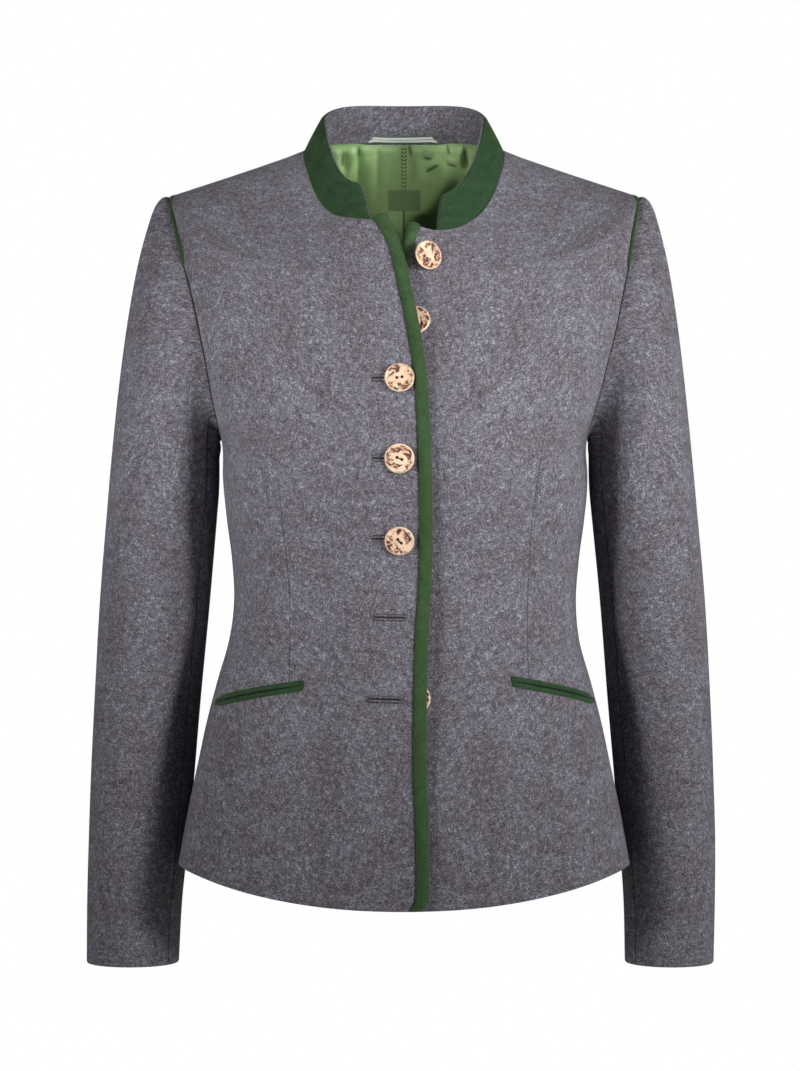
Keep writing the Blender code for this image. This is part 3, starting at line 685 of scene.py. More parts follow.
LODEN_CLOTH = make_loden("loden_nap", 0.35)
LODEN_SLEEVE = make_loden("loden_nap_sleeve", 1.35)
FELT_TRIM = make_felt("felt_trim", (0.011, 0.034, 0.010), (0.040, 0.094, 0.037))
# Painted shade: the collar's felt is a darker copy of the trim felt, standing for the shade it
# lies in.
FELT_COLLAR_SHADED = make_felt("felt_collar_cloth", (0.008, 0.026, 0.0075), (0.031, 0.074, 0.029))
FELT_BINDING = make_felt("felt_binding", (0.021, 0.046, 0.015), (0.056, 0.112, 0.043))
SATIN_LINING = make_satin("satin_lining")
LABEL_CLOTH = make_label_cloth("label_cloth")
RIBBON_CLOTH = make_ribbon("striped_ribbon")
HORN = make_horn("stag_horn")
GREEN_THREAD = make_thread("green_thread", (0.030, 0.080, 0.028))
DARK_THREAD = make_thread("dark_thread", (0.020, 0.014, 0.012))
EDGE_THREAD = make_thread("edge_thread", (0.090, 0.150, 0.075))
PALE_THREAD = make_thread("pale_thread", (0.55, 0.55, 0.50))
print("finishes:", len(bpy.data.materials))

# %% [markdown]
# ## Making a sheet of cloth
#
# A panel is two grids of points, its outer and its inner face, closed round the border. Rows and
# columns crowd together at the borders, so that the cloth can roll over there: a seam then shows
# as the narrow valley between two rolled edges, with painted shade along most of them, and a hem
# looks folded, not cut.

# %% Helpers for meshes
ROLL = 0.0016
ROLL_DEPTH = 0.0006
INNER_ROLL = 0.0004
BORDER_STEPS = (0.0, 0.0005, 0.0011, 0.0018, 0.0030)


def spaced(length, step, crowd_start=True, crowd_end=True):
    """Shares of a length: even steps, with closer ones at the ends that are borders."""
    steps = np.array(BORDER_STEPS)
    inner_start = steps[-1] if crowd_start else 0.0
    inner_end = length - (steps[-1] if crowd_end else 0.0)
    count = max(int((inner_end - inner_start) / step), 2)
    places = list(np.linspace(inner_start, inner_end, count + 1))
    if crowd_start:
        places = list(steps[:-1]) + places
    if crowd_end:
        places = places + list((length - steps[:-1])[::-1])
    return np.array(places) / length


def walked(grid, axis):
    """The distance along rows or columns from the grid's first one."""
    steps = np.linalg.norm(np.diff(grid, axis=axis), axis=-1)
    start = np.zeros_like(np.take(steps, [0], axis=axis))
    return np.concatenate([start, np.cumsum(steps, axis=axis)], axis=axis)


def seam_map(grid, first_row=True, last_row=True, first_column=True, aside=None, softly=1.0):
    """The map "seams", for painted shade: how far a dart is, and how far the nearest sewn border
    is. The borders of the columns count as softly times as far, for a fainter painted shade line."""
    far = np.ones(grid.shape[:2])
    down, across = walked(grid, 0), walked(grid, 1)
    near = (across[:, -1:] - across) * softly
    for wanted, distance in (
        (first_row, down),
        (last_row, down[-1:] - down),
        (first_column, across * softly),
    ):
        near = np.minimum(near, distance) if wanted else near
    return np.stack([far if aside is None else aside, near], -1)


def border_roll(grid):
    """How far the cloth dips as it rolls over at each border."""
    dip = np.zeros(grid.shape[:2])
    for axis in (0, 1):
        there = walked(grid, axis)
        back = np.take(there, [-1], axis=axis) - there
        for distance in (there, back):
            share = np.clip(1 - distance / ROLL, 0, 1)
            dip = np.maximum(dip, share**2)
    return dip * ROLL_DEPTH


def make_object(name, points, faces, materials, maps=None, indices=None, smooth_angle=50):
    """A mesh object at the origin from plain arrays."""
    mesh = bpy.data.meshes.new(name)
    mesh.from_pydata(np.asarray(points).tolist(), [], [list(map(int, f)) for f in faces])
    for title, values in (maps or {}).items():
        layer = mesh.uv_layers.new(name=title)
        corners = np.zeros(len(mesh.loops), int)
        mesh.loops.foreach_get("vertex_index", corners)
        layer.data.foreach_set("uv", np.asarray(values, float)[corners].ravel())
    for material in materials:
        mesh.materials.append(material)
    if indices is not None:
        mesh.polygons.foreach_set("material_index", indices)
    mesh.shade_smooth()
    mesh.set_sharp_from_angle(angle=math.radians(smooth_angle))
    made = bpy.data.objects.new(name, mesh)
    scene.collection.objects.link(made)
    return made


def cloth_wall(name, outer, inner, materials, inner_finish=None, extra_maps=None, level_row=0):
    """The closed wall between two grids. inner_finish gives the inner faces' materials, and
    level_row the row that lies straight on the map."""
    rows, columns = outer.shape[:2]
    index = np.arange(rows * columns).reshape(rows, columns)
    quads = np.stack([index[:-1, :-1], index[:-1, 1:], index[1:, 1:], index[1:, :-1]], -1)
    quads = quads.reshape(-1, 4)
    loop = np.concatenate([index[0], index[1:, -1], index[-1, -2::-1], index[-2:0:-1, 0]])
    ahead = np.roll(loop, -1)
    half = rows * columns
    rim = np.stack([ahead, loop, loop + half, ahead + half], -1)
    faces = np.concatenate([quads, quads[:, ::-1] + half, rim])
    flat = outer.reshape(-1, 3)
    side_a, side_b = flat[quads[:, 1]] - flat[quads[:, 0]], flat[quads[:, 3]] - flat[quads[:, 0]]
    facing = np.cross(side_a, side_b)
    away = (outer - inner).reshape(-1, 3)[quads[:, 0]]
    if np.sum(facing * away) < 0:
        faces = faces[:, ::-1]
    down = walked(outer, 0)
    chart = np.stack([walked(outer, 1), down - down[level_row]], -1).reshape(-1, 2)
    maps = {"cloth": np.concatenate([chart, chart + 0.7]), "seams": np.ones((2 * half, 2))}
    for title, values in (extra_maps or {}).items():
        flat_map = np.asarray(values).reshape(-1, 2)
        maps[title] = np.concatenate([flat_map, flat_map])
    indices = np.zeros(len(faces), int)
    if inner_finish is not None:
        indices[len(quads) : 2 * len(quads)] = inner_finish[:-1, :-1].ravel()
    points = np.concatenate([flat, inner.reshape(-1, 3)])
    return make_object(name, points, faces, materials, maps, indices)


def tube(name, rows, materials, smooth_angle=50, seams=None):
    """A closed solid lofted through rows of points, each row one closed outline."""
    rows = np.asarray(rows)
    count, size = rows.shape[:2]
    index = np.arange(count * size).reshape(count, size)
    ahead = np.roll(index, -1, axis=1)
    sides = np.stack([index[:-1], ahead[:-1], ahead[1:], index[1:]], -1).reshape(-1, 4)
    flat = rows.reshape(-1, 3)
    corners = (flat - flat.mean(axis=0))[sides]
    volume = np.sum(corners[:, 0] * np.cross(corners[:, 1], corners[:, 2]))
    volume += np.sum(corners[:, 0] * np.cross(corners[:, 2], corners[:, 3]))
    faces = sides.tolist() + [index[0, ::-1].tolist(), index[-1].tolist()]
    if volume < 0:
        faces = [face[::-1] for face in faces]
    round_it = walked(np.concatenate([rows, rows[:, :1]], 1), 1)[:, :-1]
    maps = {"cloth": np.stack([round_it, walked(rows, 0)], -1).reshape(-1, 2)}
    maps["seams"] = np.ones((count * size, 2)) if seams is None else seams.reshape(-1, 2)
    return make_object(name, flat, faces, materials, maps, None, smooth_angle)


PIECES = {}


def keep(piece, slot, *nodes):
    """The piece rides on the jacket, and stands for its solids if it has any."""
    PIECES[piece.name] = piece
    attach(piece, "root")
    if nodes:
        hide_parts(*nodes)


# %% [markdown]
# ## Cutting the fronts
#
# Each front runs from its edge to the side seam below the arm, to the armhole beside it, and to
# the shoulder seam above. Its inner face is loden along the facing and the hem, and lining beyond.

# %% Cut the fronts
PANEL_STEP = 0.0030
FRONT_WIDTH = 0.16
BACK_WIDTH = 0.15
ARMHOLE_DEPTH = 0.20
FACING = 0.085
HEM_TURN = 0.032


def panel_runs(start=0.0, top_step=PANEL_STEP):
    """Runs for the rows: close at the hem, the armpit, the shoulder point and the neck."""
    low, high = ARMPIT_RUN - start, NECK_RUN - SHOULDER_RUN
    parts = [
        start + low * spaced(low, PANEL_STEP, True, False),
        armhole_run(np.linspace(0, 180, int(ARMHOLE_DEPTH / PANEL_STEP))),
        SHOULDER_RUN + high * spaced(high, top_step, False, True),
    ]
    return np.unique(np.round(np.concatenate(parts), 7))


def front_grid_turns(front, runs):
    """A row of turns for each run, from the edge to the far side."""
    edge, bound = edge_turn(front, runs), bound_turn(front, runs)
    end = armhole_turn(runs, front.side)
    shares = spaced(FRONT_WIDTH, PANEL_STEP, False, True)
    near = edge[:, None] + (bound - edge)[:, None] * np.linspace(0, 1, 5)[:-1]
    far = bound[:, None] + (end - bound)[:, None] * shares
    return np.concatenate([near, far], axis=1)


def cut_loden(name, place, seams, dip=0.0, lined=None, cloth=LODEN_CLOTH, level_row=0):
    """A loden panel with rolled borders. place(out) gives its points, out from its outer face."""
    roll = border_roll(place(0.0))
    outer, inner = place(-roll - dip), place(-LODEN + np.minimum(roll, INNER_ROLL))
    cloths = [cloth] if lined is None else [cloth, SATIN_LINING]
    piece = cloth_wall(f"loden_{name}", outer, inner, cloths, lined, {"seams": seams}, level_row)
    keep(piece, "loden", name)
    print(piece.name, outer.shape[:2], "points")


def make_front(side):
    front, dart = FRONTS[side], DARTS[side]
    runs = panel_runs()
    turns = front_grid_turns(front, runs)
    rows = np.broadcast_to(runs[:, None], turns.shape)
    plain = front_point(front, rows, turns)
    own_x, z = plain[..., 0] * front.sign, plain[..., 2]
    lined = (walked(plain, 1) > FACING) & (rows > HEM_TURN)
    inside = (z > dart[0].z) & (z < dart[-1].z)
    # How far each point lies from the dart, which places a painted shade line along it.
    aside = np.where(inside, own_x - between(dart, z).x, 1.0)
    seams = seam_map(plain, first_row=False, last_row=False, first_column=False, aside=aside)
    place, dip = lambda out: front_point(front, rows, turns, out), dart_depth(side, own_x, z)
    cut_loden(f"front_{side}", place, seams, dip, lined.astype(int))


for side in SIDES:
    make_front(side)

# %% [markdown]
# ## The backs and their lining
#
# Two backs meet in a centre seam. Inside the neck the lining shows, and a loose lining never lies
# flat: it is cut wider than the cloth, so it drops in soft upright folds from the neck seam. The
# creases between some of them are drawn as lines of painted shade.

# %% Cut the backs
LINING_GAP = 0.0005
LINING_HEM = 0.020
BACK_GAP = 0.000005


def back_turns(side, run, shares, centre=SEAM / 2):
    """Turns from the side seam or the armhole to the centre back seam."""
    start, end = armhole_turn(run, side, back=True), 180 - turn_at_x(run, centre)
    return start[:, None] + (end - start)[:, None] * shares


def back_place(side, runs, turns, out):
    """Points of a back, with its folds."""
    sign = SIDES[side]
    plain = skin(runs, sign * turns)
    rise = fold_height(BACK_FOLDS[side], plain[..., 0] * sign, plain[..., 2])
    return plain + skin_normal(runs, sign * turns) * (np.asarray(out) + rise)[..., None]


def make_back(side):
    runs = panel_runs()
    turns = back_turns(side, runs, spaced(BACK_WIDTH, PANEL_STEP), BACK_GAP)
    rows = np.broadcast_to(runs[:, None], turns.shape)
    # The map places painted shade beside the side and centre seams.
    seams = seam_map(back_place(side, rows, turns, 0), first_row=False, last_row=False)
    cut_loden(f"back_{side}", lambda out: back_place(side, rows, turns, out), seams)


LINING_SLACK = 0.0020
LINING_FULLNESS = 1.4
LINING_STEP = 0.0013
LOOP_DROP = 0.0028
LOOP_ENDS_X = (0.026, 0.042)
LINING_DROPS = 0.020
SEWN_IN = 0.014
CENTRE_FLAT = (0.003, 0.011)
CREASE_SHADE_NARROWS = 0.0008
LINING_FOLDS = {
    "right": mm(
        Fold,
        (29, 10, 29.5, -30, 6, 2.6),
        (22.5, 12, 22.5, -28, 2, -1.2),
        (16.5, 10, 16.5, -45, 3.8, 1.4),
        (37.8, 12, 38.6, -18, 2.2, -2.4),
        (44, 12, 45, -16, 3, 2),
        (51.2, 7, 51.4, -6, 2.4, -3.4),
        (57, 12, 58, -12, 3, 2.4),
        (63, 12, 65, -20, 2.4, -2.6),
        (20, -60, 36, -160, 9, 3),
    ),
    "left": mm(
        Fold,
        (4.8, 13, 6.2, 3, 1.3, -1.2),
        (10, 12, 12, -12, 4, 1.6),
        (16, 6.2, 24, 5.5, 2.2, 1.8),
        (18.5, -5, 29, 0.6, 2.2, 1.4),
        (36.5, 2.2, 45, -0.2, 2.4, 1.8),
        (33, 12, 34, -20, 4, 1.2),
        (47.5, 12, 48.5, -4, 2.2, 1.8),
        (52.8, 10, 53.4, -7, 2.2, -3.6),
        (59, 12, 60, -16, 3, 2),
        (65, 12, 67, -20, 2.6, -2.6),
        (26, -50, 40, -150, 10, 3),
    ),
}
# Lines of painted shade: the lining's colour darkens along these creases between its folds.
CreaseShade = namedtuple("CreaseShade", "x z end_x end_z")
CREASE_SHADE_LINES = {
    "right": mm(
        CreaseShade,
        (51.2, 6, 51.4, -4),
        (38, 11, 38.5, 3),
    ),
    "left": mm(
        CreaseShade,
        (4.6, 12.5, 6, 4),
        (17.2, 3, 23.2, 2.2),
        (18.7, -8.2, 29.3, -2.3),
        (36.8, -1.2, 44.3, -3.6),
        (36.6, 12.5, 39, 6),
        (50.5, 12, 53.2, -5),
    ),
}
LABEL = {"x": 0.0005, "width": 0.027, "top": -0.0232, "bottom": -0.0394}
LABEL_CLEAR = 0.012


def crease_shade_distance(side, x, z):
    """How far each place is from the nearest crease line of painted shade on the lining, which
    narrows at its ends.
    """
    nearest = np.ones(np.shape(x))
    for crease in CREASE_SHADE_LINES[side]:
        share, aside, length = beside_line(crease, x, z)
        past = np.maximum(np.abs(share - 0.5) - 0.5, 0) * length
        narrow = CREASE_SHADE_NARROWS * np.minimum(np.abs(2 * share - 1), 1) ** 3
        nearest = np.minimum(nearest, np.hypot(aside, past) + narrow)
    return nearest


def make_lining(side):
    runs = panel_runs(LINING_HEM, top_step=LINING_STEP)
    turns = back_turns(side, runs, spaced(BACK_WIDTH, LINING_STEP), 0.0)
    rows = np.broadcast_to(runs[:, None], turns.shape)
    own_x = back_place(side, rows, turns, 0)[..., 0] * SIDES[side]
    low = ease(rows, NECK_RUN - LINING_DROPS, NECK_RUN) * (1 - ease(own_x, *LOOP_ENDS_X))
    rows = rows - LOOP_DROP * low
    plain = back_place(side, rows, turns, 0)
    own_x, z = plain[..., 0] * SIDES[side], plain[..., 2]
    slack = LINING_SLACK + LINING_FULLNESS * fold_height(LINING_FOLDS[side], own_x, z)
    slack = slack * ease(NECK_RUN - rows, 0.0, SEWN_IN) * ease(own_x, *CENTRE_FLAT)
    half = LABEL["width"] / 2
    beside = ease(own_x, half + 0.001, half + LABEL_CLEAR)
    above = ease(z, LABEL["top"], LABEL["top"] + LABEL_CLEAR)
    below = ease(-z, -LABEL["bottom"], LABEL_CLEAR - LABEL["bottom"])
    slack = slack * np.maximum(beside, np.maximum(above, below))
    near = -LODEN - LINING_GAP - np.maximum(slack, -0.0002)
    outer = back_place(side, rows, turns, near)
    inner = back_place(side, rows, turns, near - SATIN)
    # The crease lines, and the seams below the label, carry painted shade.
    seams = seam_map(plain, False, False, aside=crease_shade_distance(side, own_x, z))
    seams[..., 1] = np.where(z > LABEL["top"], 1.0, seams[..., 1])
    piece = cloth_wall(f"satin_back_{side}", outer, inner, [SATIN_LINING], None, {"seams": seams})
    keep(piece, "satin", f"lining_back_{side}")
    print(piece.name, outer.shape[:2], "points")


for side in SIDES:
    make_back(side)
    make_lining(side)

# %% [markdown]
# ## The sleeves
#
# A two-piece sleeve has a seam near the front of the arm and one behind it, which lets it bend
# like an arm. It starts square to the armhole, rises over the sleeve head, and falls to the cuff.
# Cloth bunches a little in the bend of the elbow, and less at the back of it.

# %% Sleeve sizes and folds
SLEEVE_GAP = 0.0004
SHOULDER_UP = np.array((0.35, 0.0, 0.94))
SLEEVE_OUT = np.array((1, 0, 0.12))
SLEEVE_FORWARD = 0.45
SLEEVE_ARRIVES = 0.55
HEAD_BUMP = 0.0016
SleeveRing = namedtuple("SleeveRing", "z right_x right_half left_x left_half y half_depth")
SLEEVE_RINGS = mm(
    SleeveRing,
    (-658, 220.6, 37.4, 215.8, 36, 15, 46),
    (-607, 219.3, 38.7, 216.1, 37.2, 20, 47.5),
    (-558, 216.4, 40.8, 214.8, 39.2, 26, 49),
    (-509, 213.7, 42.2, 212.5, 40.5, 31, 51),
    (-445, 209.7, 43.4, 208.7, 42, 34, 54),
    (-364, 203.3, 44.9, 202.9, 42.8, 28, 57),
    (-283, 195.8, 44.9, 194.5, 43, 14, 60),
)
CUFF_Z = -0.658
BICEP_Z = -0.283
FRONT_SEAM = 36
BACK_SEAM = 256
SLEEVE_SEAM_GAP = math.degrees(SEAM / 2 / 0.040)
ROUND_METRES = 0.30 / 360
CUFF_TURN = 1.92
SLEEVE_HEAD = 0.24
SLEEVE_FOLDS = {
    "right": mm(
        Fold,
        (30, -352, 66, -330, 5.5, 1.3),
        (28, -378, 58, -372, 5, 1.1),
        (30, -366, 52, -354, 3.5, -0.9),
        (50, -430, 60, -640, 9, 1),
        (98, -250, 112, -420, 13, -0.9),
        (78, -150, 70, -290, 12, 1),
        (196, -340, 166, -380, 9, 1.4),
        (190, -380, 160, -410, 7, -1),
        (180, -150, 190, -290, 13, 1.2),
        (9, -222, 9, -246, 15, 2.2),
    ),
    "left": mm(
        Fold,
        (30, -344, 60, -322, 5, 1.2),
        (28, -384, 64, -376, 5.5, 1.3),
        (30, -362, 50, -350, 3.8, -0.9),
        (52, -440, 58, -630, 10, 1),
        (100, -240, 108, -430, 12, -1),
        (80, -160, 68, -300, 11, 0.9),
        (192, -350, 160, -392, 8, 1.3),
        (186, -386, 164, -420, 8, -1.1),
        (184, -160, 188, -280, 12, 1.3),
        (9, -222, 9, -246, 15, 1.2),
    ),
}

# %% Where the sleeves lie


def armhole_place(side, own, back):
    """The skin's turn and point at the armhole's edge."""
    run = armhole_run(own)
    turn = np.where(back, armhole_turn(run, side, True), armhole_turn(run, side))
    return run, turn, skin(run, turn)


def armhole_edge(side, angle, top_from=140):
    """Edge, way out of the skin, and way on from the skin, at angles round a left-hand armhole."""
    angle = np.asarray(angle, float)
    back = angle > 180
    own = np.clip(np.where(back, 360 - angle, angle), 0.5, 179.5)
    run, turn, place = armhole_place(side, own, back)
    along = armhole_place(side, own + 0.4, back)[2] - armhole_place(side, own - 0.4, back)[2]
    top = ease(own, top_from, 176)[..., None]
    facing = unit(skin_normal(run, turn) * (1 - top) + SHOULDER_UP * top)
    onward = unit(np.cross(along, facing)) * np.where(back, -1, 1)[..., None]
    return place, facing, onward


def arm_ring(side, angle, z):
    """Points of the left-hand form of a sleeve, below the bicep. 0 faces the body, 90 front."""
    ring = between(SLEEVE_RINGS, z)
    centre = ring.right_x if side == "right" else ring.left_x
    half = ring.right_half if side == "right" else ring.left_half
    turn = np.radians(angle)
    x = centre - half * np.cos(turn)
    y = ring.y - ring.half_depth * np.sin(turn)
    return np.stack(np.broadcast_arrays(x, y, z), -1)


def sleeve_skin(side, angle, level):
    """Points of a sleeve: level 0 at the armhole, 1 at the bicep and 2 at the cuff."""
    angle, level = np.broadcast_arrays(np.asarray(angle, float), np.asarray(level, float))
    lower = arm_ring(side, angle, BICEP_Z + (CUFF_Z - BICEP_Z) * np.maximum(level - 1, 0))
    edge, _, onward = armhole_edge(side, angle % 360)
    turn = np.radians(angle)
    start = edge + onward * SLEEVE_GAP
    end = arm_ring(side, angle, np.full(angle.shape, BICEP_Z))
    above = arm_ring(side, angle, np.full(angle.shape, BICEP_Z - 0.02))
    reach = np.linalg.norm(end - start, axis=-1)[..., None]
    out_way = unit(onward * SLEEVE_FORWARD + SLEEVE_OUT)
    out_by = 0.004 + 0.009 * (1 - np.cos(turn)) + 0.016 * np.sin(turn) ** 2
    handle = start + out_way * out_by[..., None]
    arrival = end + unit(end - above) * reach * SLEEVE_ARRIVES
    s = np.clip(level, 0, 1)[..., None]
    upper = (
        start * (1 - s) ** 3
        + handle * 3 * s * (1 - s) ** 2
        + arrival * 3 * s * s * (1 - s)
        + end * s**3
    )
    point = np.where(level[..., None] >= 1, lower, upper)
    return point * np.array((SIDES[side], 1, 1))


def sleeve_place(side, angle, level, out):
    """Points of a sleeve, out from its outer face, with its folds."""
    angle, level = np.broadcast_arrays(np.asarray(angle, float), np.asarray(level, float))
    plain = sleeve_skin(side, angle, level)
    low, high = np.maximum(level - 0.004, 0), np.minimum(level + 0.004, 2)
    round_it = sleeve_skin(side, angle + 1, level) - sleeve_skin(side, angle - 1, level)
    down_it = sleeve_skin(side, angle, high) - sleeve_skin(side, angle, low)
    own = unit(np.cross(down_it, round_it)) * SIDES[side]
    edge_way = armhole_edge(side, angle % 360)[1] * np.array((SIDES[side], 1, 1))
    near = (1 - ease(level, 0.0, 0.07))[..., None]
    facing = unit(own * (1 - near) + edge_way * near)
    rise = fold_height(SLEEVE_FOLDS[side], (angle % 360) * ROUND_METRES, plain[..., 2])
    rise = rise * ease(level, 0.1, 0.4)
    head = ease(level, 0.0, 0.085) * (1 - ease(level, 0.12, 0.32))
    rise = rise + HEAD_BUMP * head * ((1 - np.cos(np.radians(angle))) / 2) ** 2
    return plain + facing * (np.asarray(out) + rise)[..., None]


# %% Cut the sleeves


def make_sleeve_part(side, part, start, end):
    gap, shares = SLEEVE_SEAM_GAP, spaced((end - start) * ROUND_METRES, PANEL_STEP)
    angles = start + gap + (end - start - 2 * gap) * shares
    lower = 1 + spaced(BICEP_Z - CUFF_Z, PANEL_STEP, False, True)
    levels = np.concatenate([spaced(SLEEVE_HEAD, PANEL_STEP, True, False), lower[1:]])
    levels, angles = np.meshgrid(levels, angles, indexing="ij")
    # Painted shade beside the sleeve seams, fainter along the lengthwise ones.
    seams = seam_map(sleeve_place(side, angles, levels, 0.0), last_row=False, softly=2.5)
    lined = (levels < CUFF_TURN).astype(int)
    bicep = int(np.argmin(np.abs(levels[:, 0] - 1)))
    place = lambda out: sleeve_place(side, angles, levels, out)
    cut_loden(f"{part}_{side}", place, seams, 0.0, lined, LODEN_SLEEVE, bicep)


for side in SIDES:
    make_sleeve_part(side, "top_sleeve", FRONT_SEAM, BACK_SEAM)
    make_sleeve_part(side, "under_sleeve", BACK_SEAM, 360 + FRONT_SEAM)

# %% [markdown]
# ## The stand collar
#
# The collar leans in from the neck seam and rounds down to it at both fronts. It is two layers:
# green felt outside, and loden inside that stands a hair taller, so a thin grey line shows along
# the top. Both layers are swept round the neck from the same places.

# %% Collar
COLLAR_HEIGHT = 0.0320
COLLAR_LEAN = math.radians(28)
COLLAR_ROUND = {"right": 0.0220, "left": 0.0155}
COLLAR_CENTRE_Y = -0.005
COLLAR_INNER = 0.0015
NECK_GAP = 0.0002
COLLAR_ROWS = np.concatenate([[0, 0.02, 0.05], np.linspace(0.1, 0.9, 12), [0.94, 0.965, 0.985, 1]])
COLLAR_FIRST = np.array((0, 0.7, 1.5, 2.5, 4, 6))
COLLAR_STEP = 1.8
COLLAR_LOW = 0.002
COLLAR_TALLER = 0.0004
COLLAR_ROLL = 0.00045
COLLAR_SWELL = 0.0004


def collar_point(side, turn, up, out):
    """Points of the collar: up its leaning face from the neck seam, and out from it."""
    turn = np.asarray(turn, float)
    run = np.full(turn.shape, NECK_RUN)
    fronts = front_point(FRONTS[side], run, np.minimum(turn, 90))
    base = np.where((turn <= 90)[..., None], fronts, skin(run, SIDES[side] * turn))
    away = base - np.array((0, COLLAR_CENTRE_Y, 0))
    away[..., 2] = 0
    away = unit(away)
    rising = UP * math.cos(COLLAR_LEAN) - away * math.sin(COLLAR_LEAN)
    facing = away * math.cos(COLLAR_LEAN) + UP * math.sin(COLLAR_LEAN)
    up, out = np.asarray(up, float), np.asarray(out, float)
    return base + rising * (NECK_GAP + up)[..., None] + facing * out[..., None]


def collar_turns():
    """The turns of the collar's columns: close at its end, then even round to the back."""
    start = float(turn_at_x(NECK_RUN, COLLAR_END_X))
    return np.concatenate([start + COLLAR_FIRST, np.arange(start + 8, 178, COLLAR_STEP)])


def collar_round(up_share, heights, out):
    """A grid round the neck, from the right end over the back to the left end."""
    halves, turns = [], collar_turns()
    for side, order in (("right", slice(None)), ("left", slice(None, None, -1))):
        up = up_share[:, None] * heights[side][None, :]
        half = collar_point(side, np.broadcast_to(turns, up.shape), up, out)
        halves.append(half[:, order])
    return np.concatenate(halves, axis=1)


def collar_heights(taller):
    """The collar's height along each side: it rounds down to the seam at the fronts."""
    turns, found = collar_turns(), {}
    for side in SIDES:
        line = collar_point(side, turns, np.zeros_like(turns), np.zeros_like(turns))
        from_end = walked(line[None], 1)[0] / COLLAR_ROUND[side]
        full = 1 - np.maximum(1 - from_end, 0) ** 1.8
        found[side] = COLLAR_LOW + (COLLAR_HEIGHT - COLLAR_LOW) * full + taller
    return found


def make_collar(name, solid, slot, cloth, depth, thick, taller):
    """One layer of the collar, at a depth from its outer face."""
    heights, up = collar_heights(taller), COLLAR_ROWS[:, None]
    outer = collar_round(COLLAR_ROWS, heights, 0 * up - depth)
    roll = border_roll(outer)[:, : outer.shape[1] // 2]
    roll = np.minimum(roll, COLLAR_ROLL) * (0.3 + 0.7 * ease(up, 0.05, 0.2))
    swell = COLLAR_SWELL * np.sin(np.pi * up) * (depth == 0)
    outer = collar_round(COLLAR_ROWS, heights, -depth - roll + swell)
    inner = collar_round(COLLAR_ROWS, heights, -depth - thick + roll * (depth > 0))
    keep(cloth_wall(name, outer, inner, [cloth]), slot, solid)
    print(name, outer.shape[:2], "points")


make_collar("felt_collar", "collar_outer", "felt", FELT_COLLAR_SHADED, 0.0, FELT, 0.0)
inner_layer = (LODEN_CLOTH, FELT + SEAM, COLLAR_INNER, COLLAR_TALLER)
make_collar("loden_collar_facing", "collar_inner", "loden", *inner_layer)

# %% [markdown]
# ## Loop and label
#
# The hanger loop is a flat ribbon sewn in at both ends, just proud of the collar, so its stripes
# have a map of their own: along the ribbon, and across it from 0 to 1. The label is bare.

# %% Loop and label
LOOP_GAP = 0.0009
LOOP = {"x": -0.0010, "width": 0.063, "height": 0.0070, "slant": 0.20, "slack": 0.0014}
LABEL_GAP = 0.0008


def make_loop():
    """A flat ribbon with slanted ends, whose lower edge hangs a little clear of the seam."""
    near = FELT + SEAM + COLLAR_INNER + LOOP_GAP
    half = LOOP["width"] / 2
    across = np.linspace(0, 1, 9)[:, None]
    xs = np.linspace(-half, half, 61)[None, :] * (1 - LOOP["slant"] * across)
    shape = 1 - (np.abs(xs) / half) ** 2.5
    hang = 0.0010 * ease(half - np.abs(xs), 0.002, 0.007)
    up = 0.0002 + (LOOP["height"] + 0.0002 * np.sin(xs * 90)) * across + hang * (1 - across)
    out = -near - LOOP["slack"] * shape
    turns = 180 - np.abs(turn_at_x(NECK_RUN, xs + LOOP["x"]))
    grids = []
    for thick in (0, RIBBON):
        halves = [collar_point(side, turns, up, out - thick) for side in SIDES]
        grids.append(np.where((xs + LOOP["x"] > 0)[..., None], halves[1], halves[0]))
    stripe = np.stack(np.broadcast_arrays(xs * 10, across), -1)
    piece = cloth_wall("ribbon_loop", *grids, [RIBBON_CLOTH], None, {"stripe": stripe})
    keep(piece, "ribbon", "hanger_loop")


def back_at(x, z, out):
    """Points of the back at an x and a height, out from its outer face."""
    x, z = np.broadcast_arrays(np.asarray(x, float), np.asarray(z, float))
    low, high = np.zeros(z.shape), np.full(z.shape, NECK_RUN)
    for _ in range(24):
        run = (low + high) / 2
        turn = 180 - np.abs(turn_at_x(run, x))
        below = skin(run, turn)[..., 2] < z
        low, high = np.where(below, run, low), np.where(below, high, run)
    turn = np.copysign(turn, x)
    return skin(run, turn) + skin_normal(run, turn) * np.asarray(out)[..., None]


LABEL_FACE = -LODEN - LINING_GAP - SATIN - LABEL_GAP - RIBBON


def make_label():
    half = LABEL["width"] / 2
    xs = np.linspace(LABEL["x"] - half, LABEL["x"] + half, 19)[None, :]
    zs = np.linspace(LABEL["bottom"], LABEL["top"], 13)[:, None]
    wave = 0.00025 * np.sin(xs * 520 + 1.0) * np.sin(zs * 300)
    grids = [back_at(xs, zs, LABEL_FACE + RIBBON + wave), back_at(xs, zs, LABEL_FACE + wave)]
    piece = cloth_wall("bare_label", *grids, [LABEL_CLOTH])
    keep(piece, "label", "neck_label")


make_loop()
make_label()
print("loop and label made")

# %% [markdown]
# ## Felt binding, piping and welts
#
# A binding is a strip folded round a raw edge. Its profile is drawn once, as distances across the
# front and out of it, and swept up the edge: plump in the middle, pulled down at the seam. The
# piping is a finer strip, stitched along its middle, so it shows as two cords side by side.

# %% Binding
BINDING_UNDER = 0.0050
BINDING_CROWN = 0.0023
BINDING_STEP = 0.0030


